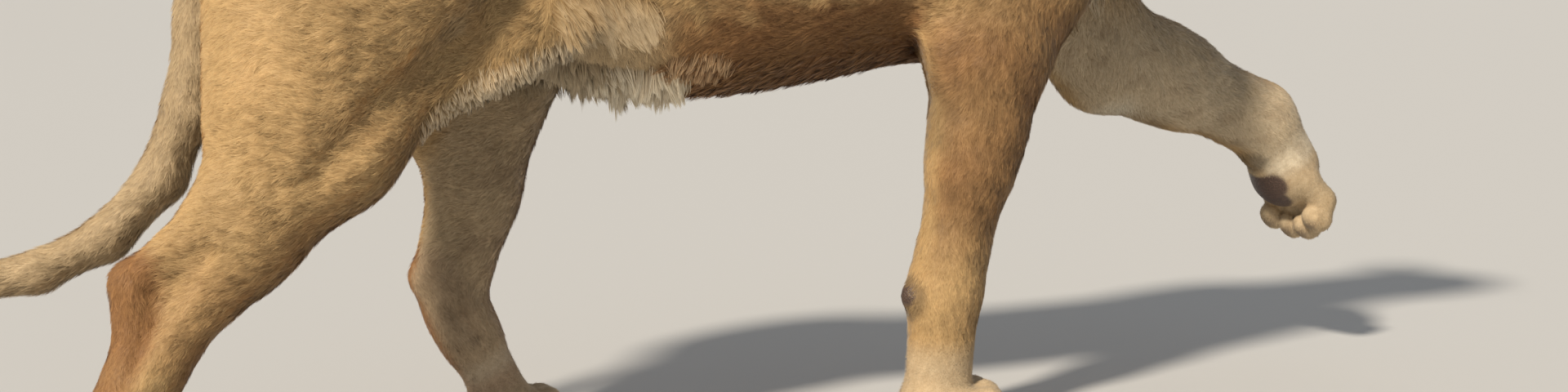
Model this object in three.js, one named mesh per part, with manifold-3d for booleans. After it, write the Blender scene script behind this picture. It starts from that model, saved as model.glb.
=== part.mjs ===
// A life-size adult lioness, walking, with her left forepaw lifted.
// Millimetres, +Z up, the lioness faces +X and her left side is +Y. She stands on the plane z = 0.
//
// The body is one smooth distance field: muscles are rounded cones and ellipsoids that melt into
// each other, the trunk is a lofted profile, and the head and the paws are built in frames of
// their own. Each named piece is the field inside a few cutting planes, turned into triangles
// by surface nets and cut true by manifold-3d.

import * as THREE from "three";
import { mergeVertices } from "three/addons/utils/BufferGeometryUtils.js";
import Module from "manifold-3d";

const wasm = await Module();
wasm.setup();

// ---- driving dimensions ------------------------------------------------------------------

const GAP = 0.4; // between neighbouring pieces
const CELL = { body: 60, neck: 52, limb: 39.5, paw: 23.5, head: 21, tail: 31, ear: 14 }; // size of the facets
const SLIVER = 0.2; // edges shorter than this are closed up after cutting
const REACH = 4000; // size of a block that stands for half of space

// Joints in the walking pose. Each leg is listed from the body down to its toes.
const JOINTS = {
  foreRight: {
    blade: [345, -100, 868],
    shoulder: [478, -112, 700],
    elbow: [322, -112, 462],
    wrist: [262, -100, 172],
    knuckle: [256, -98, 50],
  },
  foreLeft: {
    blade: [365, 100, 862],
    shoulder: [505, 108, 690],
    elbow: [652, 104, 463],
    wrist: [915, 96, 354],
    knuckle: [972, 94, 276],
  },
  hindRight: {
    hip: [-395, -80, 700],
    knee: [-480, -128, 394],
    ankle: [-676, -104, 186],
    heel: [-706, -102, 256],
    knuckle: [-764, -100, 50],
    flank: [-265, -104, 522],
  },
  hindLeft: {
    hip: [-395, 80, 700],
    knee: [-222, 130, 446],
    ankle: [-300, 110, 160],
    heel: [-338, 108, 206],
    knuckle: [-244, 106, 48],
    flank: [-110, 104, 530],
  },
};

// The trunk's outline: place along X, height of the back, height of the belly, half the width.
const TRUNK = [
  [-600, 800, 740, 30],
  [-560, 848, 690, 62],
  [-480, 893, 610, 108],
  [-380, 918, 530, 134],
  [-260, 930, 452, 142],
  [-120, 922, 418, 148],
  [0, 914, 414, 158],
  [120, 914, 428, 164],
  [240, 930, 446, 158],
  [340, 948, 452, 144],
  [430, 938, 482, 130],
  [510, 905, 540, 108],
  [580, 850, 620, 74],
  [610, 800, 700, 30],
];

const NECK = [
  { at: [420, 0, 768], tall: 168, wide: 118 },
  { at: [520, 0, 796], tall: 152, wide: 108 },
  { at: [620, 0, 828], tall: 128, wide: 98 },
  { at: [725, 0, 862], tall: 104, wide: 90 },
];

// The tail's centreline, from the rump down behind the thighs and out to the rear.
const TAIL = [
  { at: [-520, 0, 812], r: 52 },
  { at: [-584, 0, 764], r: 42 },
  { at: [-606, 0, 690], r: 35 },
  { at: [-608, 0, 600], r: 32 },
  { at: [-609, 0, 515], r: 30 },
  { at: [-624, 0, 430], r: 29 },
  { at: [-656, 2, 350], r: 27.5 },
  { at: [-714, 5, 288], r: 25.5 },
  { at: [-785, 10, 255], r: 23.5 },
  { at: [-855, 16, 246], r: 22 },
  { at: [-920, 23, 261], r: 21 },
  { at: [-972, 30, 292], r: 33 },
  { at: [-1008, 35, 330], r: 27 },
  { at: [-1026, 38, 364], r: 9 },
];
const TAIL_CUTS = [5.5, 8.5, 10.5]; // where its lengths part, counted in stations
const TAIL_TOP = 642; // level at which it leaves the buttocks

const HEAD = { origin: [865, 0, 866], pitch: 14 }; // between the eyes; degrees nose down
const EYE = { at: [1, 50, -3], r: 19 }; // in the head's frame
const EAR = {
  at: [-106, 80, 60],
  faces: [0.8, 0.56, -0.12],
  up: [-0.16, 0.46, 0.88],
  back: [30, 43, 55],
  cup: [30, 38, 46],
  cupAhead: 24,
};

// ---- vectors and frames ------------------------------------------------------------------

const vec = (p) => new THREE.Vector3(...p);
const mirrored = (p) => [p[0], -p[1], p[2]];
const lerp = (a, b, t) => a + (b - a) * t;
const between = (a, b, t) => a.map((value, i) => lerp(value, b[i], t));
const plus = (a, b) => a.map((value, i) => value + b[i]);

// A frame at a point, its x axis along `ahead`, its z axis as near to `up` as it can be.
function frameAt(point, ahead, up = [0, 0, 1]) {
  const x = vec(ahead).normalize();
  const y = vec(up).cross(x).normalize();
  const z = x.clone().cross(y);
  return new THREE.Matrix4().makeBasis(x, y, z).setPosition(vec(point));
}

const headFrame = frameAt(HEAD.origin, [
  Math.cos(THREE.MathUtils.degToRad(HEAD.pitch)),
  0,
  -Math.sin(THREE.MathUtils.degToRad(HEAD.pitch)),
]);

// ---- distance fields ---------------------------------------------------------------------

const blend = (a, b, k) => {
  const h = Math.max(k - Math.abs(a - b), 0) / k;
  return Math.min(a, b) - (h * h * k) / 4;
};

// A round cone from a to b. With `axis` and `flat`, it is that much thinner along the axis.
function cone(a, b, ra, rb, { k = 30, axis = [0, 1, 0], flat = 1, frame = null } = {}) {
  const start = vec(a);
  const end = vec(b);
  const thin = vec(axis).normalize();
  if (frame) {
    start.applyMatrix4(frame);
    end.applyMatrix4(frame);
    thin.transformDirection(frame);
  }
  const along = end.clone().sub(start);
  const length2 = Math.max(along.lengthSq(), 1e-9);
  const q = new THREE.Vector3();
  const distance = (p) => {
    q.copy(p).sub(start);
    const t = Math.min(1, Math.max(0, q.dot(along) / length2));
    q.addScaledVector(along, -t);
    const r = lerp(ra, rb, t);
    if (flat === 1) return q.length() - r;
    const side = q.dot(thin);
    q.addScaledVector(thin, side / flat - side);
    const size = q.length();
    q.addScaledVector(thin, side / (flat * flat) - side / flat);
    return size < 1e-6 ? -r * flat : ((size - r) * size) / q.length();
  };
  return { distance, k };
}

// An ellipsoid, in the frame's own axes.
function egg(centre, radii, { k = 30, frame = new THREE.Matrix4() } = {}) {
  const inverse = frame.clone().invert();
  const c = vec(centre);
  const q = new THREE.Vector3();
  const s = new THREE.Vector3();
  const distance = (p) => {
    q.copy(p).applyMatrix4(inverse).sub(c);
    s.set(q.x / radii[0], q.y / radii[1], q.z / radii[2]);
    const size = s.length();
    s.set(s.x / radii[0], s.y / radii[1], s.z / radii[2]);
    return size < 1e-6 ? -Math.min(...radii) : (size * (size - 1)) / s.length();
  };
  return { distance, k };
}

// Smooth values of a table's columns at x, which is its first column.
function profileAt(table, x) {
  const last = table.length - 1;
  const at = Math.min(Math.max(x, table[0][0]), table[last][0]);
  let i = 0;
  while (i < last - 1 && table[i + 1][0] < at) i++;
  const [p0, p1, p2, p3] = [i - 1, i, i + 1, i + 2].map((j) => table[Math.min(Math.max(j, 0), last)]);
  const step = p2[0] - p1[0];
  const t = (at - p1[0]) / step;
  return p1.map((value, c) => {
    const m1 = ((p2[c] - p0[c]) / (p2[0] - p0[0])) * step;
    const m2 = ((p3[c] - value) / (p3[0] - p1[0])) * step;
    const t2 = t * t;
    const t3 = t2 * t;
    return (
      (2 * t3 - 3 * t2 + 1) * value + (t3 - 2 * t2 + t) * m1 + (3 * t2 - 2 * t3) * p2[c] + (t3 - t2) * m2
    );
  });
}

const trunkField = {
  k: 30,
  distance: (p) => {
    const [x, back, belly, wide] = profileAt(TRUNK, p.x);
    const middle = lerp(belly, back, 0.47);
    const tall = p.z > middle ? back - middle : middle - belly;
    const side = p.y / wide;
    const rise = (p.z - middle) / tall;
    const size = Math.max(Math.hypot(side, rise), 1e-6);
    const slope = Math.hypot(side / wide, rise / tall) / size;
    return Math.hypot(Math.max((size - 1) / slope, 0), p.x - x) + Math.min((size - 1) / slope, 0);
  },
};

// A chain of cones through stations, flattened sideways where they are wider than tall.
const chain = (stations, k) =>
  stations
    .slice(1)
    .map((s, i) => cone(stations[i].at, s.at, stations[i].r, s.r, { k }));

const neckParts = NECK.slice(1).map((s, i) =>
  cone(NECK[i].at, s.at, NECK[i].tall, s.tall, { flat: NECK[i].wide / NECK[i].tall, k: 40 }),
);

// Hip, thigh, shank and hock. `side` is 1 on the left and -1 on the right.
function hindLegParts({ hip, knee, ankle, heel, knuckle, flank }, side) {
  const out = (x, y, z) => [x, side * y, z];
  const seat = [-560, side * 58, 762]; // the point of the buttock
  const calf = between(knee, heel, 0.5);
  return [
    egg(plus(hip, out(0, 28, 92)), [150, 72, 104], { k: 50 }),
    cone(plus(hip, out(62, 30, 10)), plus(knee, out(8, -2, 34)), 98, 60, { flat: 0.72, k: 45 }),
    cone(seat, plus(knee, out(-70, -4, 36)), 60, 62, { flat: 0.78, k: 45 }),
    cone(plus(hip, out(-50, 30, 0)), plus(knee, out(-40, 0, 50)), 110, 78, { flat: 0.7, k: 45 }),
    cone(plus(seat, [0, 0, -60]), calf, 46, 42, { flat: 0.7, k: 40 }),
    cone(plus(knee, [6, 0, 14]), plus(knee, [0, 0, -30]), 44, 40, { k: 30 }),
    cone(plus(knee, out(52, -4, 36)), flank, 38, 50, { flat: 0.5, k: 40 }), // fold of the flank
    cone(plus(knee, [-38, 0, -8]), calf, 66, 50, { flat: 0.82, k: 30 }),
    cone(knee, between(knee, ankle, 0.55), 56, 42, { flat: 0.85, k: 30 }),
    cone(between(knee, ankle, 0.5), ankle, 43, 33, { flat: 0.9, k: 25 }),
    cone(calf, heel, 42, 19, { flat: 0.7, k: 22 }),
    cone(between(knee, heel, 0.62), between(ankle, heel, 0.45), 34, 26, { flat: 0.42, k: 22 }),
    cone(heel, between(ankle, knuckle, 0.25), 21, 31, { flat: 0.85, k: 20 }),
    cone(ankle, between(ankle, knuckle, 0.3), 37, 34, { k: 20 }),
    cone(between(ankle, knuckle, 0.2), knuckle, 36, 35, { flat: 0.95, k: 20 }),
  ];
}

// Shoulder, upper arm, elbow, forearm and wrist.
// A lifted leg's wrist is `full`er, as the skin there bunches up.
function foreLegParts({ blade, shoulder, elbow, wrist, knuckle }, side, full = 1) {
  const out = (x, y, z) => [x, side * y, z];
  const lower = vec(wrist).sub(vec(elbow)).normalize();
  const behind = new THREE.Vector3(0, 1, 0).cross(lower).toArray(); // the elbow's side
  const back = (p, n) => plus(p, behind.map((v) => v * n));
  const point = plus(back(elbow, 42), lower.clone().multiplyScalar(-22).toArray());
  return [
    cone(blade, shoulder, 74, 92, { flat: 0.58, k: 45 }),
    cone(plus(blade, out(-70, 6, -60)), back(elbow, 30), 84, 58, { flat: 0.55, k: 45 }),
    cone(shoulder, elbow, 90, 66, { flat: 0.72, k: 45 }),
    cone(back(plus(between(shoulder, elbow, 0.35), out(-20, 4, 0)), 30), point, 86, 42, { flat: 0.66, k: 40 }),
    cone(point, back(elbow, 20), 34, 42, { flat: 0.85, k: 30 }),
    cone(back(elbow, 4), between(elbow, wrist, 0.42), 76, 58 * full, { flat: 0.8, k: 30 }),
    cone(between(elbow, wrist, 0.3), between(elbow, wrist, 0.92), 60 * full, 43 * full, { flat: 0.9 / full, k: 25 }),
    cone(between(elbow, wrist, 0.85), wrist, 44 * full, 46 * full, { flat: 0.96 / full, k: 20 }),
    cone(wrist, between(wrist, knuckle, 0.9), 45 * full, 43 * full, { flat: 0.98 / full, k: 20 }),
    egg(back(plus(wrist, lower.clone().multiplyScalar(8).toArray()), 40), [19, 16, 19], { k: 14 }), // pad
  ];
}

// A paw in its own frame: x runs to the toes, z to the back of the paw, and the sole is z = 0.
function pawParts(frame, { spread, length, toe }) {
  const parts = [
    egg([-4, 0, 34], [48, spread * 1.42, 34], { frame, k: 22 }),
    egg([0, 0, 16], [36, spread * 1.02, 20], { frame, k: 10 }),
  ];
  for (const place of [-1.5, -0.5, 0.5, 1.5]) {
    const y = place * spread * 0.74;
    const middle = Math.abs(place) < 1;
    const reach = middle ? length : length * 0.84;
    const root = [10, y * 0.86, 40];
    const bend = [reach * 0.55, y, middle ? 44 : 40];
    const tip = [reach - toe, y * 1.04, toe * 0.95];
    parts.push(cone(root, bend, toe * 1.12, toe * 1.1, { frame, k: 12 }));
    parts.push(cone(bend, tip, toe * 1.1, toe * 0.94, { frame, k: 10 }));
    parts.push(egg([reach - toe * 1.4, y, 12], [toe * 1.1, toe * 0.9, 16], { frame, k: 8 }));
  }
  return parts;
}

const FOREPAW = { spread: 38, length: 104, toe: 20 };
const HINDPAW = { spread: 32, length: 96, toe: 17.5 };

// The sole lies on the floor under a standing foot's knuckle.
const standing = (knuckle, turn = 0) => frameAt([knuckle[0], knuckle[1], -4], [1, turn, 0]);

const pawFrames = {
  foreRight: standing(JOINTS.foreRight.knuckle, -0.06),
  hindRight: standing(plus(JOINTS.hindRight.knuckle, [4, 0, 0]), -0.08),
  hindLeft: standing(JOINTS.hindLeft.knuckle, 0.08),
  foreLeft: frameAt(plus(JOINTS.foreLeft.knuckle, [-37, 0, -31]), [0.64, 0.02, -0.77], [0.77, 0.1, 0.64]),
};

// Skull, muzzle, cheeks and jaw, in the head's frame. Pieces off the middle come in pairs.
function headParts() {
  const frame = headFrame;
  const parts = [
    egg([-95, 0, -8], [98, 80, 70], { frame, k: 30 }), // braincase
    egg([-165, 0, -25], [80, 88, 84], { frame, k: 45 }), // nape
    egg([-30, 0, 2], [60, 58, 40], { frame, k: 30 }), // forehead
    cone([6, 0, -54], [88, 0, -68], 60, 50, { frame, k: 24 }), // muzzle
    egg([124, 0, -42], [19, 31, 16], { frame, k: 8 }), // top of the nose
    egg([127, 0, -60], [15, 19, 17], { frame, k: 8 }), // and its narrow foot
    egg([94, 0, -114], [35, 36, 23], { frame, k: 8 }), // chin
    cone([62, 0, -104], [-60, 0, -112], 32, 52, { frame, k: 26 }), // lower jaw
    egg([-95, 0, -88], [92, 74, 62], { frame, k: 40 }), // throat
  ];
  for (const side of [1, -1]) {
    const at = (x, y, z) => [x, side * y, z];
    parts.push(
      cone(at(8, 13, -10), at(112, 10, -38), 34, 26, { frame, k: 18 }), // bridge of the nose
      egg(at(123, 20, -51), [16, 14, 13], { frame, k: 8 }), // wing of the nostril
      egg(at(93, 30, -78), [40, 35, 31], { frame, k: 10 }), // whisker pad
      cone(at(6, 28, 13), at(-20, 60, 14), 18, 20, { frame, k: 18 }), // brow
      cone(at(16, 50, -48), at(-60, 84, -34), 24, 32, { frame, k: 26 }), // cheekbone
      egg(at(-46, 60, -56), [70, 46, 52], { frame, k: 30 }), // jaw muscle
      egg(at(-92, 70, -64), [62, 44, 60], { frame, k: 35 }), // ruff
      cone(at(72, 16, -106), at(-50, 56, -102), 24, 34, { frame, k: 24 }), // jaw bone
      egg(at(-112, 60, 32), [40, 31, 33], { frame, k: 22 }), // ear's root
    );
  }
  return parts;
}

// An ear: an egg, hollowed on the side that it faces.
function earField(side) {
  const flip = (p) => (side > 0 ? p : mirrored(p));
  const frame = headFrame.clone().multiply(frameAt(flip(EAR.at), flip(EAR.faces), flip(EAR.up)));
  const back = egg([0, 0, 0], EAR.back, { frame });
  const cup = egg([EAR.cupAhead, 0, 0], EAR.cup, { frame });
  return (p) => -blend(-back.distance(p), cup.distance(p), 8);
}

const ears = { left: earField(1), right: earField(-1) };
const orbit = (side) => egg([27, side * 60, -3], [24, 22, 15], { frame: headFrame });
const orbits = { left: orbit(1), right: orbit(-1) };

const flesh = [
  trunkField,
  ...neckParts,
  ...hindLegParts(JOINTS.hindRight, -1),
  ...hindLegParts(JOINTS.hindLeft, 1),
  ...foreLegParts(JOINTS.foreRight, -1),
  ...foreLegParts(JOINTS.foreLeft, 1, 1.2),
  ...headParts(),
  ...pawParts(pawFrames.foreRight, FOREPAW),
  ...pawParts(pawFrames.foreLeft, FOREPAW),
  ...pawParts(pawFrames.hindRight, HINDPAW),
  ...pawParts(pawFrames.hindLeft, HINDPAW),
];
const tailParts = chain(TAIL, 14);

const unionOf = (parts, p) => parts.reduce((d, part) => blend(d, part.distance(p), part.k), 1e4);
const body = (p) => unionOf(flesh, p);
const tail = (p) => unionOf(tailParts, p);
const rump = (p) => blend(body(p), tail(p), 35);
const face = (p) => {
  const skull = body(p);
  const solid = Math.min(skull, blend(skull, Math.min(ears.left(p), ears.right(p)), 10));
  return -blend(-solid, Math.min(orbits.left.distance(p), orbits.right.distance(p)), 12);
};

// ---- surface nets ------------------------------------------------------------------------

// Moves a point onto the surface of a field.
function settle(field, p) {
  const slope = new THREE.Vector3();
  for (let round = 0; round < 2; round++) {
    const here = field(p);
    for (let n = 0; n < 3; n++) {
      const step = p.clone().setComponent(n, p.getComponent(n) + 0.5);
      slope.setComponent(n, (field(step) - here) * 2);
    }
    p.addScaledVector(slope, -here / Math.max(slope.lengthSq(), 0.25));
  }
}

// Where corners across a diagonal are inside and the other pair is outside, the net would touch
// itself, so the outer corner nearer to the surface is taken in.
function untangle(values, size, cell) {
  const [nx, ny, nz] = size;
  const strides = [1, nx, nx * ny];
  const nearer = (a, b) => (Math.abs(values[a]) < Math.abs(values[b]) ? a : b);
  let changed = true;
  while (changed) {
    changed = false;
    for (let k = 0; k < nz - 1; k++)
      for (let j = 0; j < ny - 1; j++)
        for (let i = 0; i < nx - 1; i++) {
          const at = (k * ny + j) * nx + i;
          for (const [u, w] of [[0, 1], [1, 2], [2, 0]]) {
            const pair = [at, at + strides[u] + strides[w]];
            const other = [at + strides[u], at + strides[w]];
            const signs = [...pair, ...other].map((n) => values[n] < 0);
            if (signs[0] !== signs[1] || signs[2] !== signs[3] || signs[0] === signs[2]) continue;
            values[nearer(...(signs[0] ? other : pair))] = -0.02 * cell;
            changed = true;
          }
        }
  }
}

// The surface of a field inside a box, as a closed mesh: one point in each cell that it crosses.
function surfaceNet(field, low, high, cell) {
  const size = low.map((v, i) => Math.ceil((high[i] - v) / cell) + 3);
  const index = (i, j, k) => (k * size[1] + j) * size[0] + i;
  const values = new Float64Array(size[0] * size[1] * size[2]);
  const p = new THREE.Vector3();
  const edge = (v, i) => Math.max(low[i] - v, v - high[i]);
  for (let k = 0; k < size[2]; k++)
    for (let j = 0; j < size[1]; j++)
      for (let i = 0; i < size[0]; i++) {
        p.set(low[0] + (i - 1) * cell, low[1] + (j - 1) * cell, low[2] + (k - 1) * cell);
        values[index(i, j, k)] = Math.max(field(p), edge(p.x, 0), edge(p.y, 1), edge(p.z, 2));
      }
  untangle(values, size, cell);
  const points = [];
  const pointOf = new Map();
  const corners = [0, 1, 2, 3, 4, 5, 6, 7].map((c) => [c & 1, (c >> 1) & 1, c >> 2]);
  for (let k = 0; k < size[2] - 1; k++)
    for (let j = 0; j < size[1] - 1; j++)
      for (let i = 0; i < size[0] - 1; i++) {
        const v = corners.map(([a, b, c]) => values[index(i + a, j + b, k + c)]);
        const inside = v.filter((x) => x < 0).length;
        if (inside === 0 || inside === 8) continue;
        const sum = [0, 0, 0];
        let count = 0;
        for (let a = 0; a < 8; a++)
          for (const axis of [1, 2, 4]) {
            const b = a | axis;
            if (a & axis || v[a] < 0 === v[b] < 0) continue;
            const t = v[a] / (v[a] - v[b]);
            for (let n = 0; n < 3; n++) sum[n] += lerp(corners[a][n], corners[b][n], t);
            count++;
          }
        pointOf.set(index(i, j, k), points.length / 3);
        p.set(...[i, j, k].map((at, n) => low[n] + (at - 1 + sum[n] / count) * cell));
        if (Math.max(...[0, 1, 2].map((n) => edge(p.getComponent(n), n))) < -cell) settle(field, p);
        points.push(...p.toArray());
      }
  const faces = [];
  const steps = [[1, 0, 0], [0, 1, 0], [0, 0, 1]];
  for (let k = 1; k < size[2] - 1; k++)
    for (let j = 1; j < size[1] - 1; j++)
      for (let i = 1; i < size[0] - 1; i++)
        steps.forEach((s, n) => {
          const a = values[index(i, j, k)] < 0;
          const b = values[index(i + s[0], j + s[1], k + s[2])] < 0;
          if (a === b) return;
          const u = steps[(n + 1) % 3];
          const w = steps[(n + 2) % 3];
          const quad = [[0, 0], [1, 0], [1, 1], [0, 1]].map(([f, g]) =>
            pointOf.get(index(i - f * u[0] - g * w[0], j - f * u[1] - g * w[1], k - f * u[2] - g * w[2])),
          );
          if (!a) quad.reverse();
          faces.push(quad[0], quad[1], quad[2], quad[0], quad[2], quad[3]);
        });
  return new wasm.Manifold(
    new wasm.Mesh({
      numProp: 3,
      vertProperties: new Float32Array(points),
      triVerts: new Uint32Array(faces),
    }),
  );
}

// ---- cutting -----------------------------------------------------------------------------

function solidOf(geometry) {
  const bare = geometry.clone();
  bare.deleteAttribute("normal");
  bare.deleteAttribute("uv");
  const merged = mergeVertices(bare, 1e-3);
  return new wasm.Manifold(
    new wasm.Mesh({
      numProp: 3,
      vertProperties: merged.attributes.position.array,
      triVerts: new Uint32Array(merged.index.array),
    }),
  );
}

// All of space on the side of a plane that its normal points to, moved `by` along the normal.
function beyond([point, normal], by) {
  const up = Math.abs(normal[2]) > 0.9 * Math.hypot(...normal) ? [1, 0, 0] : [0, 0, 1];
  const block = new THREE.BoxGeometry(REACH, REACH, REACH).translate(REACH / 2 + by, 0, 0);
  return solidOf(block.applyMatrix4(frameAt(point, normal, up)));
}

// A zone is made of blocks, and a block is all that lies beyond each of its planes.
const block = (planes, by) => planes.map((plane) => beyond(plane, by)).reduce((a, b) => a.intersect(b));
const zone = (...blocks) => (by) => blocks.map((planes) => block(planes, by)).reduce((a, b) => a.add(b));

const reversed = ([point, normal]) => [point, normal.map((v) => -v)];
const across = (a, b, t) => [between(a, b, t), vec(b).sub(vec(a)).toArray()];
const sideways = (y) => [[0, y, 0], [0, Math.sign(y), 0]];
const inHead = ([point, normal]) => [
  vec(point).applyMatrix4(headFrame).toArray(),
  vec(normal).transformDirection(headFrame).toArray(),
];
const above = (z) => [[0, 0, z], [0, 0, 1]];
const ahead = (x) => [[x, 0, 0], [1, 0, 0]];

const headCut = [[722, 0, 858], [0.95, 0, 0.06]];
const neckCut = [[500, 0, 870], [0.84, 0, 0.54]];
const tailCut = [[-570, 0, 790], [-0.9, 0, -0.3]];

function foreZones({ blade, wrist, knuckle }, side, elbowCut, low) {
  const wristCut = across(wrist, knuckle, 0.06);
  const high = [
    sideways(side * 90),
    [plus(blade, [-165, 0, -100]), [0.97, 0, -0.24]],
    [plus(blade, [0, 0, -8]), [0.2, 0, -0.98]],
    reversed(neckCut),
  ];
  return {
    whole: zone(high, low),
    upper: zone([...high, reversed(elbowCut)], [...low, reversed(elbowCut)]),
    middle: zone([...low, elbowCut, reversed(wristCut)]),
    foot: zone([...low, wristCut]),
  };
}

function hindZones({ hip, knee, ankle, knuckle }, side, front) {
  const kneeCut = across(hip, knee, 0.95);
  const ankleCut = across(ankle, knuckle, 0.22);
  const all = [sideways(side * 50), front, [plus(hip, [0, 0, 140]), [-0.3, 0, -0.95]]];
  return {
    whole: zone(all),
    upper: zone([...all, reversed(kneeCut)]),
    middle: zone([...all, kneeCut, reversed(ankleCut)]),
    foot: zone([...all, ankleCut]),
  };
}

const below = (z) => reversed(above(z));
const { foreRight, foreLeft, hindRight, hindLeft } = JOINTS;
const legZones = {
  foreRight: foreZones(foreRight, -1, below(428), [sideways(-20), below(428), ahead(190)]),
  foreLeft: foreZones(foreLeft, 1, across(foreLeft.shoulder, foreLeft.elbow, 0.86), [
    sideways(12),
    across(foreLeft.shoulder, foreLeft.elbow, 0.42),
    below(640),
  ]),
  hindRight: hindZones(hindRight, -1, [[-372, 0, 430], [-0.876, 0, 0.483]]),
  hindLeft: hindZones(hindLeft, 1, [[-158, 0, 500], [-0.945, 0, -0.327]]),
};
const tailZone = zone([tailCut, reversed(sideways(49)), reversed(sideways(-49)), above(TAIL_TOP)]);
const headZone = zone([headCut]);
const neckZone = zone([neckCut, reversed(headCut)]);
const earZone = (side) =>
  zone(
    [
      [[-112, 0, 64], [0.08, 0.3 * side, 0.95]],
      [[0, 34 * side, 0], [0, side, 0]],
      [[-58, 0, 0], [-1, 0, 0]],
      [[-148, 0, 0], [1, 0, 0]],
    ].map(inHead),
  );
const earZones = { left: earZone(1), right: earZone(-1) };
const legsWhole = Object.values(legZones).map((leg) => leg.whole);
const floor = () => beyond(above(0), 0);

// What the zones leave of a net, as one solid.
function carve(net, keep, drop = []) {
  const kept = keep.reduce((solid, area) => solid.intersect(area(GAP / 2)), net);
  const solid = drop.reduce((whole, area) => whole.subtract(area(-GAP / 2)), kept);
  return solid.decompose().sort((a, b) => b.volume() - a.volume())[0];
}

// ---- pieces ------------------------------------------------------------------------------

const FUR = { tawny: 0xb08a55, flank: 0xa88250, pale: 0xc9b28c, dark: 0x4a3524, grey: 0x9a8464 };
const lion = new THREE.Group();

function addPiece(name, solid, color, roughness = 0.9) {
  const { numProp, vertProperties, triVerts } = solid.simplify(SLIVER).getMesh();
  const position = new Float32Array((vertProperties.length / numProp) * 3);
  for (let i = 0; i < position.length / 3; i++)
    position.set(vertProperties.subarray(i * numProp, i * numProp + 3), i * 3);
  const geometry = new THREE.BufferGeometry()
    .setAttribute("position", new THREE.BufferAttribute(position, 3))
    .setIndex(new THREE.BufferAttribute(triVerts, 1));
  geometry.computeVertexNormals();
  const mesh = new THREE.Mesh(
    geometry,
    new THREE.MeshStandardMaterial({ color, roughness, metalness: 0 }),
  );
  mesh.name = name;
  lion.add(mesh);
}

const trunkNet = surfaceNet(body, [-700, -260, 360], [800, 260, 1000], CELL.body);
const elsewhere = [...legsWhole, tailZone, headZone];
const chestZone = zone([ahead(150)]);
const bellyZone = zone([ahead(-200), reversed(ahead(150))]);
const rumpZone = zone([reversed(ahead(-200))]);
addPiece("chest", carve(trunkNet, [chestZone], [...elsewhere, neckZone]), FUR.tawny);
addPiece("belly", carve(trunkNet, [bellyZone], elsewhere), FUR.flank);
addPiece("rump", carve(trunkNet, [rumpZone], elsewhere), FUR.tawny);

const neckNet = surfaceNet(body, [400, -240, 500], [880, 240, 1060], CELL.neck);
addPiece("neck", carve(neckNet, [neckZone], legsWhole), FUR.tawny);

const ball = (side, r) =>
  solidOf(
    new THREE.SphereGeometry(r, 12, 7)
      .translate(EYE.at[0], side * EYE.at[1], EYE.at[2])
      .applyMatrix4(headFrame),
  );
const skull = surfaceNet(face, [670, -190, 640], [1080, 190, 1100], CELL.head);
const withoutEars = carve(skull, [headZone], [earZones.left, earZones.right]);
const sockets = ball(1, EYE.r + GAP).add(ball(-1, EYE.r + GAP));
addPiece("head", withoutEars.subtract(sockets), FUR.tawny);
const earNet = surfaceNet(face, [670, -190, 840], [860, 190, 1100], CELL.ear);
addPiece("ear_left", carve(earNet, [earZones.left]), FUR.pale);
addPiece("ear_right", carve(earNet, [earZones.right]), FUR.pale);
addPiece("eye_left", ball(1, EYE.r), 0x8a5a1e, 0.15);
addPiece("eye_right", ball(-1, EYE.r), 0x8a5a1e, 0.15);

function boxOf(points, margin) {
  const box = new THREE.Box3().setFromPoints(points.map(vec)).expandByScalar(margin);
  return [box.min.toArray(), box.max.toArray()];
}
const netAround = (field, points, margin, cell) => surfaceNet(field, ...boxOf(points, margin), cell);

for (const [leg, side, names] of [
  ["foreRight", "right", ["upper_arm", "forearm", "forepaw"]],
  ["foreLeft", "left", ["upper_arm", "forearm", "forepaw"]],
  ["hindRight", "right", ["thigh", "shank", "hindpaw"]],
  ["hindLeft", "left", ["thigh", "shank", "hindpaw"]],
]) {
  const points = Object.values(JOINTS[leg]);
  const zones = legZones[leg];
  const upper = netAround(body, points.slice(0, 3), 260, CELL.body);
  const middle = netAround(body, points.slice(1, -1), 150, CELL.limb);
  const foot = netAround(body, points.slice(-2), 162, CELL.paw);
  addPiece(`${names[0]}_${side}`, carve(upper, [zones.upper], [headZone]), FUR.tawny);
  addPiece(`${names[1]}_${side}`, carve(middle, [zones.middle]), FUR.tawny);
  addPiece(`${names[2]}_${side}`, carve(foot, [zones.foot, floor]), FUR.pale);
}

const tailPlane = (station) => {
  const i = Math.floor(station);
  return across(TAIL[i].at, TAIL[i + 1].at, station - i);
};
const rootNet = netAround(rump, [TAIL[1].at, TAIL[2].at], 160, CELL.limb);
addPiece("tail_root", carve(rootNet, [tailZone]), FUR.tawny);
const tailPlanes = [below(TAIL_TOP), ...TAIL_CUTS.map(tailPlane)];
const tailNet = netAround(tail, TAIL.map((s) => s.at), 90, CELL.tail);
tailPlanes.forEach((plane, i) => {
  const next = tailPlanes.slice(i + 1, i + 2).map(reversed);
  const name = i < TAIL_CUTS.length ? `tail_${i + 1}` : "tail_tuft";
  addPiece(name, carve(tailNet, [zone([plane, ...next])]), i < TAIL_CUTS.length ? FUR.grey : FUR.dark);
});

// The origin is under the middle of the lioness, on the floor.
const { min, max } = new THREE.Box3().setFromObject(lion);
for (const mesh of lion.children)
  mesh.geometry.translate(-(min.x + max.x) / 2, -(min.y + max.y) / 2, 0);

export default lion;
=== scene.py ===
import math
import time

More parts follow.
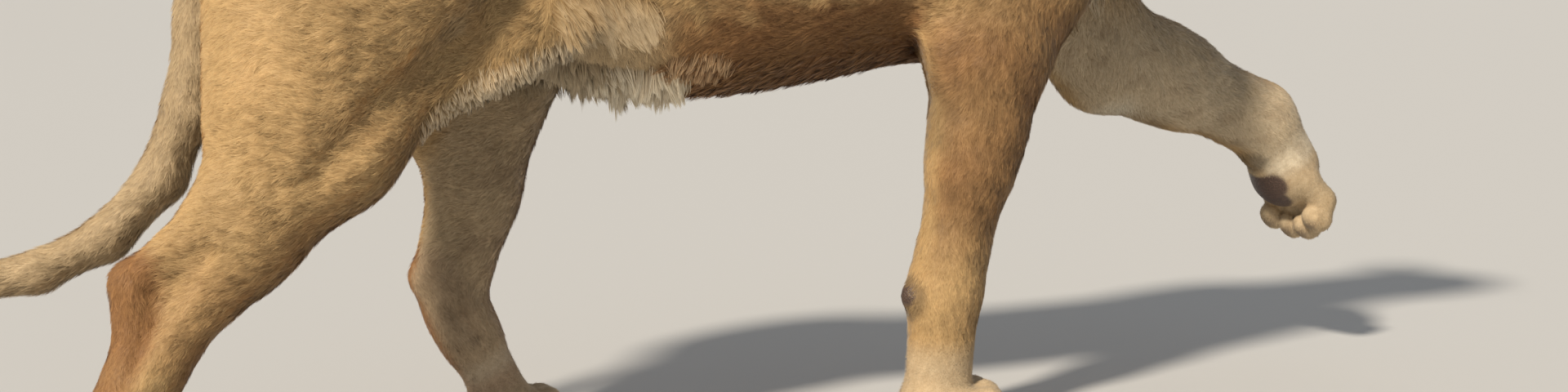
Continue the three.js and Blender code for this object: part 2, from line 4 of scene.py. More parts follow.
import bmesh
import bpy
import numpy as np
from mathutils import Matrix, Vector


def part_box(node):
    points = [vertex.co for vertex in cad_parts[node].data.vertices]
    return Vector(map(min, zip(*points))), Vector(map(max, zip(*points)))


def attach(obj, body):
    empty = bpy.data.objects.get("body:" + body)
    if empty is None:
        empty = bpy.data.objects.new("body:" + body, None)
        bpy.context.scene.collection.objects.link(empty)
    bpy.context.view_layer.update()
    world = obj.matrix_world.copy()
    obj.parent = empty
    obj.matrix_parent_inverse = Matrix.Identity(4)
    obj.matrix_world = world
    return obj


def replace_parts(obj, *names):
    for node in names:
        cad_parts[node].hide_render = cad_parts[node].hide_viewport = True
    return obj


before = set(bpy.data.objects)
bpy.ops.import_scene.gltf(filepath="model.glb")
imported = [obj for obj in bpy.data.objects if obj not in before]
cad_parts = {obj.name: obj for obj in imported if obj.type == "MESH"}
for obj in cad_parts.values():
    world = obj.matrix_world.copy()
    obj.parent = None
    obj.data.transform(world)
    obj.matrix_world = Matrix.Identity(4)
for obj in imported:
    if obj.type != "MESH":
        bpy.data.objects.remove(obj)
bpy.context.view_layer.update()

startTime = time.time()


def report(text):
    print(f"[{time.time() - startTime:6.1f} s] {text}")


# The lioness walks to +X. Her shape is worked out in millimetres from a point between her feet,
# and moved at the end so that her left eyeball sits where the frame has it.
mm = 0.001

# Camera, floor and light come first.
cameraSettings = dict(
    stand=(-0.9746, -2.1813, 0.570),  # metres, in the lioness's own measuring frame
    yaw=26.0,  # degrees that the view is turned toward her head
    pitch=6.5,  # degrees that it looks down
    focal=45.0,  # mm on a 36 mm sensor
)
joints = dict(
    foreRight=dict(blade=(345, -100, 868), shoulder=(478, -112, 700), elbow=(322, -112, 462),
                   wrist=(262, -100, 172), knuckle=(256, -98, 50)),
    foreLeft=dict(blade=(365, 100, 862), shoulder=(505, 108, 690), elbow=(652, 104, 463),
                  wrist=(915, 96, 354), knuckle=(972, 94, 276)),
    hindRight=dict(hip=(-395, -80, 700), knee=(-480, -128, 394), ankle=(-676, -104, 186),
                   heel=(-706, -102, 256), knuckle=(-764, -100, 50), flank=(-265, -104, 522)),
    hindLeft=dict(hip=(-395, 80, 700), knee=(-222, 130, 446), ankle=(-300, 110, 160),
                  heel=(-338, 108, 206), knuckle=(-244, 106, 48), flank=(-110, 104, 530)),
)
headPose = dict(origin=(865, 0, 866), pitch=14)  # between the eyes; degrees nose down
eyeBall = dict(at=(1, 50, -3), radius=19)  # in the head's frame


def vec(p):
    return np.asarray(p, dtype=float)


def unit(v):
    v = vec(v)
    return v / np.linalg.norm(v)


def unitRows(v):  # each row made one long
    return v / np.linalg.norm(v, axis=1)[:, None]


def frameAt(point, ahead, up=(0, 0, 1)):
    x = unit(ahead)
    y = unit(np.cross(up, x))
    made = np.eye(4)
    made[:3, 0], made[:3, 1], made[:3, 2], made[:3, 3] = x, y, np.cross(x, y), point
    return made


def place(made, p):
    return made[:3, :3] @ vec(p) + made[:3, 3]


headTilt = math.radians(headPose["pitch"])
headFrame = frameAt(headPose["origin"], (math.cos(headTilt), 0, -math.sin(headTilt)))
eyeInFrame = np.mean([vec(c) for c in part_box("eye_left")], axis=0)
shift = eyeInFrame - place(headFrame, eyeBall["at"]) * mm  # from her measuring frame to the frame


def toFrame(points):
    return np.asarray(points) * mm + shift


def makeCamera():
    c = cameraSettings
    yaw, pitch = math.radians(c["yaw"]), math.radians(c["pitch"])
    look = Vector((math.sin(yaw) * math.cos(pitch), math.cos(yaw) * math.cos(pitch), -math.sin(pitch)))
    data = bpy.data.cameras.new("walkCamera")
    data.lens, data.sensor_width, data.clip_end = c["focal"], 36.0, 300.0
    camera = bpy.data.objects.new("walkCamera", data)
    camera.location = Vector(c["stand"]) + Vector(shift)
    camera.rotation_euler = look.to_track_quat("-Z", "Y").to_euler()
    bpy.context.collection.objects.link(camera)
    bpy.context.scene.camera = camera
    bpy.context.scene.view_settings.view_transform = "Standard"


def addPiece(name, mesh):
    piece = bpy.data.objects.new(name, mesh)
    bpy.context.collection.objects.link(piece)
    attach(piece, "root")
    return piece


def nodeMaterial(name):
    material = bpy.data.materials.new(name)
    material.use_nodes = True
    nodes, links = material.node_tree.nodes, material.node_tree.links
    return material, nodes, links, nodes["Principled BSDF"]


studio = dict(
    floorColor=(0.60, 0.585, 0.56), floorTones=(0.96, 1.04), floorSize=400.0,  # size in metres
    world=dict(color=(0.86, 0.92, 1.0), strength=0.28),
    key=dict(toward=(0.69, 0.43, -0.68), strength=3.9, angle=6.0, color=(1.0, 0.92, 0.80)),
    fill=dict(toward=(-0.55, -0.60, -0.45), strength=0.36, angle=60.0, color=(1.0, 0.97, 0.93)),
)


def makeStudio():
    s = studio
    bpy.ops.mesh.primitive_plane_add(size=s["floorSize"], location=(0, 0, 0))
    floor = bpy.context.object
    floor.name = "studioFloor"
    material, nodes, links, shader = nodeMaterial("paleFloor")
    grain = nodes.new("ShaderNodeTexNoise")
    grain.inputs["Scale"].default_value = 3.0
    tones = nodes.new("ShaderNodeValToRGB")
    for stop, share in zip(tones.color_ramp.elements, s["floorTones"]):
        stop.color = (*[v * share for v in s["floorColor"]], 1)
    links.new(grain.outputs["Fac"], tones.inputs["Fac"])
    links.new(tones.outputs["Color"], shader.inputs["Base Color"])
    shader.inputs["Roughness"].default_value = 0.9
    floor.data.materials.append(material)
    world = bpy.data.worlds.new("softSky")
    bpy.context.scene.world = world
    world.use_nodes = True
    background = world.node_tree.nodes["Background"]
    background.inputs["Color"].default_value = (*s["world"]["color"], 1)
    background.inputs["Strength"].default_value = s["world"]["strength"]
    for name in ("key", "fill"):
        lamp = s[name]
        data = bpy.data.lights.new(name + "Light", "SUN")
        data.energy, data.angle, data.color = lamp["strength"], math.radians(lamp["angle"]), lamp["color"]
        light = bpy.data.objects.new(name + "Light", data)
        light.location = Vector(lamp["toward"]) * -4
        light.rotation_euler = Vector(lamp["toward"]).to_track_quat("-Z", "Y").to_euler()
        bpy.context.collection.objects.link(light)


makeCamera()
makeStudio()
report("camera, floor and lights")

# Her body as a distance field: muscles are rounded cones and eggs that melt together.
def blend(a, b, k):
    h = np.maximum(k - np.abs(a - b), 0) / k
    return np.minimum(a, b) - h * h * k / 4


def cone(a, b, ra, rb, k=30, axis=(0, 1, 0), flat=1.0, base=None, inset=0.0):
    start, end, thin = vec(a), vec(b), unit(axis)
    if base is not None:
        start, end, thin = place(base, a), place(base, b), base[:3, :3] @ thin
    along = end - start
    length2 = max(along @ along, 1e-9)

    def distance(p):
        q = p - start
        t = np.clip(q @ along / length2, 0, 1)
        q = q - t[..., None] * along
        r = ra + (rb - ra) * t
        if flat == 1:
            return np.linalg.norm(q, axis=-1) - r + inset
        side = q @ thin
        q = q + (side / flat - side)[..., None] * thin
        size = np.linalg.norm(q, axis=-1)
        q = q + (side / flat / flat - side / flat)[..., None] * thin
        return (size - r) * size / np.maximum(np.linalg.norm(q, axis=-1), 1e-6) + inset

    reach = max(ra, rb) * max(flat, 1) + k + 25
    low, high = np.minimum(start, end) - reach, np.maximum(start, end) + reach
    return dict(distance=distance, k=k, low=low, high=high)


def egg(centre, radii, k=30, base=None, inset=0.0):
    made = np.eye(4) if base is None else base
    turn, middle, radii = made[:3, :3], place(made, centre), vec(radii)

    def distance(p):
        s = ((p - middle) @ turn) / radii
        size = np.linalg.norm(s, axis=-1)
        slope = np.linalg.norm(s / radii, axis=-1)
        return size * (size - 1) / np.maximum(slope, 1e-6) + inset

    reach = max(radii) + k + 25
    return dict(distance=distance, k=k, low=middle - reach, high=middle + reach)


# The trunk's outline: place along X, height of the back, height of the belly, half the width.
trunkOutline = vec([
    (-600, 800, 740, 30), (-560, 848, 690, 62), (-480, 893, 610, 108), (-380, 918, 530, 134),
    (-260, 930, 452, 142), (-120, 922, 418, 148), (0, 914, 414, 158), (120, 914, 428, 164),
    (240, 930, 446, 158), (340, 948, 452, 144), (430, 938, 482, 130), (510, 905, 540, 108),
    (580, 850, 620, 74), (610, 800, 700, 30),
])


def profileTable(table, step=1.0):
    xs = np.arange(table[0, 0], table[-1, 0] + step, step)
    last = len(table) - 1
    i = np.clip(np.searchsorted(table[:, 0], xs, side="left") - 1, 0, last - 1)
    p0, p1, p2, p3 = (table[np.clip(i + n, 0, last)] for n in (-1, 0, 1, 2))
    width = (p2 - p1)[:, :1]
    t = (xs[:, None] - p1[:, :1]) / width
    m1 = (p2 - p0) / (p2 - p0)[:, :1] * width
    m2 = (p3 - p1) / (p3 - p1)[:, :1] * width
    curve = ((2 * t**3 - 3 * t**2 + 1) * p1 + (t**3 - 2 * t**2 + t) * m1
             + (3 * t**2 - 2 * t**3) * p2 + (t**3 - t**2) * m2)
    return xs, curve[:, 1], curve[:, 2], curve[:, 3]


def trunkPart(inset):
    xs, backs, bellies, widths = profileTable(trunkOutline)

    def distance(p):
        x = np.clip(p[..., 0], xs[0], xs[-1])
        back, belly, wide = (np.interp(x, xs, column) for column in (backs, bellies, widths))
        middle = belly + (back - belly) * 0.47
        tall = np.where(p[..., 2] > middle, back - middle, middle - belly)
        side, rise = p[..., 1] / wide, (p[..., 2] - middle) / tall
        size = np.maximum(np.hypot(side, rise), 1e-6)
        slope = np.hypot(side / wide, rise / tall) / size
        d = (size - 1) / slope
        under = np.clip(-rise - 0.5, 0, 0.4) * 14  # the belly's hair is longer
        return np.hypot(np.maximum(d, 0), p[..., 0] - x) + np.minimum(d, 0) + inset + under

    return dict(distance=distance, k=30, low=vec((-665, -230, 350)), high=vec((675, 230, 1010)))


neckStations = [
    dict(at=(420, 0, 768), tall=168, wide=118), dict(at=(520, 0, 796), tall=152, wide=108),
    dict(at=(620, 0, 828), tall=128, wide=98), dict(at=(725, 0, 862), tall=104, wide=90),
]
tailStations = [
    ((-520, 0, 812), 52), ((-584, 0, 764), 42), ((-606, 0, 690), 35), ((-608, 0, 600), 32),
    ((-609, 0, 515), 30), ((-624, 0, 430), 29), ((-656, 2, 350), 27.5), ((-714, 5, 288), 25.5),
    ((-785, 10, 255), 23.5), ((-855, 16, 246), 22), ((-920, 23, 261), 21), ((-972, 30, 292), 33),
    ((-1008, 35, 330), 27), ((-1026, 38, 364), 9),
]
tailLine = [vec(a) for a, radius in tailStations]
# How far the skin lies under the tips of the coat, mm.
coatDepth = dict(trunk=4.0, neck=4.0, hind=3.6, fore=3.2, paw=1.9, head=2.2, tail=3.4, tuft=19.0, ear=1.6)


def between(a, b, t):
    return vec(a) + (vec(b) - vec(a)) * t


def hindLegParts(leg, side):
    hip, knee, ankle, heel, knuckle, flank = (
        vec(leg[n]) for n in ("hip", "knee", "ankle", "heel", "knuckle", "flank"))

    def out(x, y, z):
        return vec((x, side * y, z))

    seat = out(-560, 58, 762)
    calf = between(knee, heel, 0.5)
    d = coatDepth["hind"]
    return [
        egg(hip + out(0, 28, 92), (150, 72, 104), k=50, inset=d),
        cone(hip + out(62, 30, 10), knee + out(8, -2, 34), 98, 60, flat=0.72, k=45, inset=d),
        cone(seat, knee + out(-70, -4, 36), 60, 62, flat=0.78, k=45, inset=d),
        cone(hip + out(-50, 30, 0), knee + out(-40, 0, 50), 110, 78, flat=0.7, k=45, inset=d),
        cone(seat + out(0, 0, -60), calf, 46, 42, flat=0.7, k=40, inset=d),
        cone(knee + out(6, 0, 14), knee + out(0, 0, -30), 44, 40, k=30, inset=d),
        cone(knee + out(52, -4, 36), flank, 38, 50, flat=0.5, k=40, inset=d),  # fold of the flank
        cone(knee + out(-38, 0, -8), calf, 66, 50, flat=0.82, k=30, inset=d),
        cone(knee, between(knee, ankle, 0.55), 56, 42, flat=0.85, k=30, inset=d),
        cone(between(knee, ankle, 0.5), ankle, 43, 33, flat=0.9, k=25, inset=d),
        cone(calf, heel, 42, 19, flat=0.7, k=22, inset=d),
        cone(between(knee, heel, 0.62), between(ankle, heel, 0.45), 34, 26, flat=0.42, k=22, inset=d),  # web
        cone(heel, between(ankle, knuckle, 0.25), 21, 31, flat=0.85, k=20, inset=d * 0.8),
        cone(ankle, between(ankle, knuckle, 0.3), 37, 34, k=20, inset=d * 0.8),
        cone(between(ankle, knuckle, 0.2), knuckle, 36, 35, flat=0.95, k=20, inset=d * 0.7),
    ]


def foreLegParts(leg, side, full=1.0):
    blade, shoulder, elbow, wrist, knuckle = (
        vec(leg[n]) for n in ("blade", "shoulder", "elbow", "wrist", "knuckle"))
    lower = unit(wrist - elbow)
    behind = np.cross((0, 1, 0), lower)

    def out(x, y, z):
        return vec((x, side * y, z))

    def back(p, n):
        return vec(p) + behind * n

    point = back(elbow, 42) - lower * 22
    d = coatDepth["fore"]
    return [
        cone(blade, shoulder, 74, 92, flat=0.58, k=45, inset=d),
        cone(blade + out(-70, 6, -60), back(elbow, 30), 84, 58, flat=0.55, k=45, inset=d),
        cone(shoulder, elbow, 90, 66, flat=0.72, k=45, inset=d),
        cone(back(between(shoulder, elbow, 0.35) + out(-20, 4, 0), 30), point, 86, 42,
             flat=0.66, k=40, inset=d),
        cone(point, back(elbow, 20), 34, 42, flat=0.85, k=30, inset=d),
        cone(back(elbow, 4), between(elbow, wrist, 0.42), 76, 58 * full, flat=0.8, k=30, inset=d),
        cone(between(elbow, wrist, 0.3), between(elbow, wrist, 0.92), 60 * full, 43 * full,
             flat=0.9 / full, k=25, inset=d),
        cone(between(elbow, wrist, 0.85), wrist, 44 * full, 46 * full, flat=0.96 / full, k=20, inset=d * 0.8),
        cone(wrist, between(wrist, knuckle, 0.9), 45 * full, 43 * full,
             flat=0.98 / full, k=20, inset=d * 0.7),
        egg(back(wrist + lower * 8, 40 * full), (19, 16, 19), k=10, inset=0.5),  # the wrist's pad
    ]


fullWrist = 1.2  # the lifted wrist's skin bunches up
paws = dict(fore=dict(spread=38, length=104, toe=20), hind=dict(spread=32, length=96, toe=17.5))


def standing(knuckle, turn):
    return frameAt((knuckle[0], knuckle[1], -4), (1, turn, 0))


liftedAt = vec(joints["foreLeft"]["knuckle"]) + (-37, 0, -31)
pawFrames = dict(
    foreRight=standing(joints["foreRight"]["knuckle"], -0.06),
    hindRight=standing(vec(joints["hindRight"]["knuckle"]) + (4, 0, 0), -0.08),
    hindLeft=standing(joints["hindLeft"]["knuckle"], 0.08),
    foreLeft=frameAt(liftedAt, (0.64, 0.02, -0.77), (0.77, 0.1, 0.64)),
)


def toePlaces(paw):
    spread, length, toe = paw["spread"], paw["length"], paw["toe"]
    for step in (-1.5, -0.5, 0.5, 1.5):
        y = step * spread * 0.74
        middle = abs(step) < 1
        reach = length if middle else length * 0.84
        yield dict(root=(10, y * 0.86, 40), bend=(reach * 0.55, y, 44 if middle else 40),
                   tip=(reach - toe, y * 1.04, toe * 0.95), pad=(reach - toe * 1.4, y, 12), toe=toe)


def pawParts(made, paw):
    spread, d = paw["spread"], coatDepth["paw"]
    parts = [egg((-4, 0, 34), (48, spread * 1.42, 34), base=made, k=22, inset=d),
             egg((0, 0, 16), (36, spread * 1.02, 20), base=made, k=6, inset=0.4)]
    for t in toePlaces(paw):
        toe = t["toe"]
        parts.append(cone(t["root"], t["bend"], toe * 1.12, toe * 1.1, base=made, k=10, inset=d))
        parts.append(cone(t["bend"], t["tip"], toe * 1.1, toe * 0.94, base=made, k=7, inset=d))
        parts.append(egg(t["pad"], (toe * 1.1, toe * 0.9, 16), base=made, k=4, inset=0.4))
    return parts


def noseParts():
    parts = [egg((124, 0, -43), (19, 29, 16), base=headFrame, k=5, inset=0.6),
             egg((127, 0, -60), (15, 19, 17), base=headFrame, k=8, inset=0.6)]
    for side in (1, -1):
        parts.append(egg((123, side * 20, -51), (16, 14, 13), base=headFrame, k=6, inset=0.6))
    return parts


def headParts():
    h, d = headFrame, coatDepth["head"]
    parts = [
        egg((-95, 0, -8), (98, 80, 70), base=h, k=30, inset=d),
        egg((-165, 0, -25), (80, 88, 84), base=h, k=45, inset=d + 1.5),
        egg((-30, 0, 2), (60, 58, 40), base=h, k=30, inset=d),
        cone((6, 0, -54), (88, 0, -68), 60, 50, base=h, k=24, inset=d),
        egg((94, 0, -114), (35, 36, 23), base=h, k=6, inset=d),
        cone((62, 0, -104), (-60, 0, -112), 32, 52, base=h, k=26, inset=d),
        egg((-95, 0, -88), (92, 74, 62), base=h, k=40, inset=d),
    ]
    for side in (1, -1):
        def at(x, y, z):
            return (x, side * y, z)
        parts += [
            cone(at(8, 13, -10), at(112, 10, -38), 34, 26, base=h, k=18, inset=d),
            egg(at(93, 30, -78), (40, 35, 31), base=h, k=10, inset=d),
            cone(at(6, 28, 13), at(-20, 60, 14), 18, 20, base=h, k=18, inset=d),
            cone(at(16, 50, -48), at(-60, 84, -34), 24, 32, base=h, k=26, inset=d),
            egg(at(-46, 60, -56), (70, 46, 52), base=h, k=30, inset=d),
            egg(at(-92, 70, -64), (62, 44, 60), base=h, k=35, inset=d + 1),
            cone(at(72, 16, -106), at(-50, 56, -102), 24, 34, base=h, k=24, inset=d),
            egg(at(-112, 60, 32), (40, 31, 33), base=h, k=22, inset=d),
        ]
    return parts + noseParts()


def tailParts():
    parts = []
    for (a, ra), (b, rb) in zip(tailStations, tailStations[1:]):
        depth = coatDepth["tuft"] if a[0] < -930 else coatDepth["tail"]
        ra, rb = (min(ra, 29), min(rb, 25)) if a[0] < -900 else (ra, rb)
        parts.append(cone(a, b, max(ra - depth, 4), max(rb - depth, 3), k=14))
    return parts


earShape = dict(
    at=(-106, 80, 60), faces=(0.80, 0.56, -0.12), up=(-0.16, 0.46, 0.88),
    back=(30, 43, 55), cup=(36, 38, 49), cupAhead=13,
)


def earFrame(side):
    e = earShape
    at, faces, up = (vec(e[n]) * (1, side, 1) for n in ("at", "faces", "up"))
    return headFrame @ frameAt(at, faces, up)


def earParts(side):
    made = earFrame(side)
    return (egg((0, 0, 0), earShape["back"], base=made, inset=coatDepth["ear"]),
            egg((earShape["cupAhead"], 0, 0), earShape["cup"], base=made))


def gazeFrame(side):
    x, y, z = eyeBall["at"]
    gaze = headFrame[:3, :3] @ unit((0.87, side * 0.47, 0.06))
    return frameAt(place(headFrame, (x, side * y, z)), gaze, headFrame[:3, 2])


# The slit between the lids, as angles seen from the middle of the eyeball.
lids = dict(
    outer=0.74, inner=1.0,  # to the corners away from the nose and beside it
    up=0.50, down=0.46, slant=0.24,
    thick=6.0,  # mm
)


def lidField(side, p):
    made = gazeFrame(side)
    q = (p - made[:3, 3]) @ made[:3, :3]
    size = np.linalg.norm(q, axis=-1)
    across = np.arctan2(q[..., 1] * side, q[..., 0])  # + is away from the nose
    rise = np.arctan2(q[..., 2], np.hypot(q[..., 0], q[..., 1])) - lids["slant"] * across
    half = np.where(across > 0, lids["outer"], lids["inner"])
    taper = 1 - np.clip(np.abs(across) / half, 0, 1) ** 2.2
    edge = np.where(rise > 0, lids["up"], lids["down"]) * taper
    opening = (np.abs(rise) - edge) * eyeBall["radius"]
    opening = np.maximum(opening, (np.abs(across) - half) * eyeBall["radius"])
    shell = np.abs(size - eyeBall["radius"] - 0.2) - lids["thick"] * 0.5
    return np.where(q[..., 0] > -13, -blend(-shell, opening, 2.0), 50.0), opening, size


def earField(p):
    ears = np.full(p.shape[:-1], 1e4)
    for side in (1, -1):
        back, cup = earParts(side)
        ears = np.minimum(ears, -blend(-back["distance"](p), cup["distance"](p), 5))
    return ears


def sculptFace(d, p):
    solid = np.minimum(d, blend(d, earField(p), 10))
    for side in (1, -1):
        orbit = egg((27, side * 60, -3), (24, 22, 15), base=headFrame)
        solid = -blend(-solid, orbit["distance"](p), 12)
        for g in faceGrooves:
            a, b = vec(g["a"]) * (1, side, 1), vec(g["b"]) * (1, side, 1)
            solid = -blend(-solid, cone(a, b, g["r"], g["r"], base=headFrame)["distance"](p), g["k"])
        lid, opening, size = lidField(side, p)
        socket = size - eyeBall["radius"] + 0.5
        solid = -blend(-solid, np.maximum(socket, opening - 3), 1.0)
        solid = blend(solid, lid, 8.0)
    return solid


# Hollows pressed into the hind legs: behind the shank's bone, and the crease over the knee.
def legHollows():
    rows = []
    for name, side in (("hindRight", -1), ("hindLeft", 1)):
        knee, ankle, heel, knuckle = (vec(joints[name][n]) for n in ("knee", "ankle", "heel", "knuckle"))
        shin, foot = between(knee, heel, 0.72), between(heel, knuckle, 0.34)
        lower, ahead = unit(ankle - knee), unit(ankle - heel)
        for face in (-1, 1):
            a = shin - lower * 4 + ahead * 12 + (0, face * 34, 0)
            b = between(ankle, heel, 0.42) + lower * 4 + (0, face * 33, 0)
            rows.append(dict(a=a, b=b, r=11.0, k=10))
            rows.append(dict(a=b, b=foot + ahead * 22 + (0, face * 37, 0), r=8.0, k=12))
        crease = [knee + vec(p) * (1, side, 1)
                  for p in ((114, 30, 98), (30, 62, 34), (-8, 67, 2), (-48, 58, -40))]
        rows += [dict(a=a, b=b, r=r, k=26) for a, b, r in zip(crease, crease[1:], (15, 13, 9))]
    return rows


fleshParts = [trunkPart(coatDepth["trunk"])]
for a, b in zip(neckStations, neckStations[1:]):
    fleshParts.append(cone(a["at"], b["at"], a["tall"], b["tall"], flat=b["wide"] / b["tall"], k=40,
                           inset=coatDepth["neck"]))
fleshParts += hindLegParts(joints["hindRight"], -1) + hindLegParts(joints["hindLeft"], 1)
fleshParts += foreLegParts(joints["foreRight"], -1) + foreLegParts(joints["foreLeft"], 1, fullWrist)
fleshParts += headParts()
for legName in ("foreRight", "foreLeft", "hindRight", "hindLeft"):
    fleshParts += pawParts(pawFrames[legName], paws[legName[:4]])
tailFlesh = tailParts()
headMiddle, headReach = place(headFrame, (-10, 0, -20)), 265  # all that the face's sculpting touches


hollows = [dict(cut=cone(h["a"], h["b"], h["r"], h["r"], k=h["k"]), k=h["k"]) for h in legHollows()]


def pressHollows(d, p):
    for h in hollows:
        close = np.flatnonzero(np.all((p > h["cut"]["low"]) & (p < h["cut"]["high"]), axis=1))
        if len(close):
            d[close] = -blend(-d[close], h["cut"]["distance"](p[close]), h["k"])
    return d


def unionOf(parts, p, d):
    low, high = p.min(0), p.max(0)
    for part in parts:
        if np.any(part["low"] > high) or np.any(part["high"] < low):
            continue
        close = np.flatnonzero(np.all((p > part["low"]) & (p < part["high"]), axis=1))
        if len(close):
            d[close] = blend(d[close], part["distance"](p[close]), part["k"])
    return d


def onCheek(x, z):  # the point of the left cheek at this place along and up the head
    ys = np.arange(0, 130, 0.5)
    across = np.stack([np.full(len(ys), x), ys, np.full(len(ys), z)], axis=1)
    p = headFrame[:3, 3] + across @ headFrame[:3, :3].T
    inside = np.flatnonzero(unionOf(fleshParts, p, np.full(len(p), 400.0)) < 0)
    return (x, ys[inside[-1]] if len(inside) else 0.0, z)


# Lines pressed into the face: the mouth, the groove under the nose, the nostrils.
mouthLine = [(126, 0, -93), (117, 18, -101)]
mouthLine += [onCheek(x, z) for x, z in ((98, -106), (76, -107), (52, -103), (26, -92))]
faceGrooves = [dict(a=(142, 0, -56), b=(129, 0, -93), r=1.8, k=4)]
faceGrooves += [dict(a=a, b=b, r=3.4, k=6) for a, b in zip(mouthLine, mouthLine[1:])]
faceGrooves += [
    dict(a=(142, 11, -54), b=(135, 21, -51), r=4.6, k=3),
    dict(a=(135, 21, -51), b=(121, 33, -57), r=2.8, k=3),
    dict(a=(26, 38, -12), b=(44, 33, -26), r=3.0, k=9),  # below the eye's inner corner
]


def skinField(p):
    if len(p) > 9000:  # in slabs along X, so that each meets only the parts near it
        order = np.argsort(p[:, 0])
        whole = np.empty(len(p))
        for slab in np.array_split(order, len(p) // 6000 + 1):
            whole[slab] = skinField(p[slab])
        return whole
    body = pressHollows(unionOf(fleshParts, p, np.full(len(p), 400.0)), p)
    tail = unionOf(tailFlesh, p, np.full(len(p), 400.0))
    root = np.clip(1 - np.linalg.norm(p - tailLine[0], axis=1) / 130, 0, 1)
    d = blend(body, tail, 5 + 40 * root)
    head = np.flatnonzero(np.linalg.norm(p - headMiddle, axis=1) < headReach)
    if len(head):
        d[head] = sculptFace(d[head], p[head])
    return d


def fieldOnGrid(low, high, cell):
    size = np.ceil((high - low) / cell).astype(int) + 1
    axes = [low[n] + np.arange(size[n]) * cell for n in range(3)]
    grids = []
    for parts in (fleshParts, tailFlesh):
        d = np.full(size, 400.0, dtype=np.float32)
        for part in parts:
            lo = np.clip(np.floor((part["low"] - low) / cell).astype(int), 0, size)
            hi = np.clip(np.ceil((part["high"] - low) / cell).astype(int) + 1, 0, size)
            if np.any(hi <= lo):
                continue
            box = tuple(slice(a, b) for a, b in zip(lo, hi))
            p = np.stack(np.meshgrid(*[axes[n][box[n]] for n in range(3)], indexing="ij"), axis=-1)
            d[box] = blend(d[box], part["distance"](p), part["k"])
        grids.append(d)
    toHead = sum(np.square(a - c).reshape([-1 if n == m else 1 for m in range(3)])
                 for n, (a, c) in enumerate(zip(axes, headMiddle)))
    close = np.argwhere((np.minimum(*grids) < 40) | (toHead < headReach**2))
    p = low + close * cell
    root = np.clip(1 - np.linalg.norm(p - tailLine[0], axis=1) / 130, 0, 1)
    body, tail = (g[tuple(close.T)] for g in grids)
    body = pressHollows(body, p)
    value = blend(body, tail, 5 + 40 * root)
    head = np.linalg.norm(p - headMiddle, axis=1) < headReach
    value[head] = sculptFace(value[head], p[head])
    whole = np.full(size, 400.0, dtype=np.float32)
    whole[tuple(close.T)] = value
    return whole


def surfaceNet(values, low, cell):
    inside = values < 0
    size = np.array(values.shape)
    corners = [(a, b, c) for a in (0, 1) for b in (0, 1) for c in (0, 1)]
    count = np.zeros(size - 1, dtype=np.int8)
    for a, b, c in corners:
        count += inside[a:size[0] - 1 + a, b:size[1] - 1 + b, c:size[2] - 1 + c]
    cells = np.argwhere((count > 0) & (count < 8))
    corner = {c: values[tuple((cells + c).T)] for c in corners}
    total, hits = np.zeros((len(cells), 3)), np.zeros(len(cells))
    for c in corners:
        for n in range(3):
            if c[n]:
                continue
            other = tuple(1 if m == n else c[m] for m in range(3))
            va, vb = corner[c], corner[other]
            cross = (va < 0) != (vb < 0)
            t = va[cross] / (va[cross] - vb[cross])
            at = np.tile(vec(c), (len(t), 1))
            at[:, n] += t
            total[cross] += at
            hits[cross] += 1
    points = low + (cells + total / hits[:, None]) * cell
    number = np.full(size - 1, -1, dtype=np.int32)
    number[tuple(cells.T)] = np.arange(len(cells))
    quads = []
    for n in range(3):
        u, w = (n + 1) % 3, (n + 2) % 3
        upper = [slice(1, s - 1) for s in size]
        shifted = list(upper)
        upper[n], shifted[n] = slice(0, size[n] - 1), slice(1, size[n])
        a, b = inside[tuple(upper)], inside[tuple(shifted)]
        at = np.argwhere(a != b)
        flip = a[tuple(at.T)]
        at = at + [0 if m == n else 1 for m in range(3)]
        step = np.eye(3, dtype=int)
        ring = [number[tuple((at - f * step[u] - g * step[w]).T)]
                for f, g in ((0, 0), (1, 0), (1, 1), (0, 1))]
        quad = np.stack(ring, axis=1)
        quad[~flip] = quad[~flip][:, ::-1]
        quads.append(quad)
    quads = np.concatenate(quads)
    return points, quads[np.all(quads >= 0, axis=1)]


def slopeAt(p, reach=0.6):
    ends = vec([(1, -1, -1), (-1, -1, 1), (-1, 1, -1), (1, 1, 1)])
    return sum(e * skinField(p + e * reach)[:, None] for e in ends) / (4 * reach)


def settle(p, rounds=2):  # moves points onto the surface
    for _ in range(rounds):
        slope = slopeAt(p)
        size2 = np.maximum((slope**2).sum(1), 0.3)
        move = -skinField(p)[:, None] * slope / size2[:, None]
        p = p + np.clip(move, -4, 4)
    return p


skinDetail = dict(cell=6.5)  # mm between the skin's points, before the face and paws are made finer


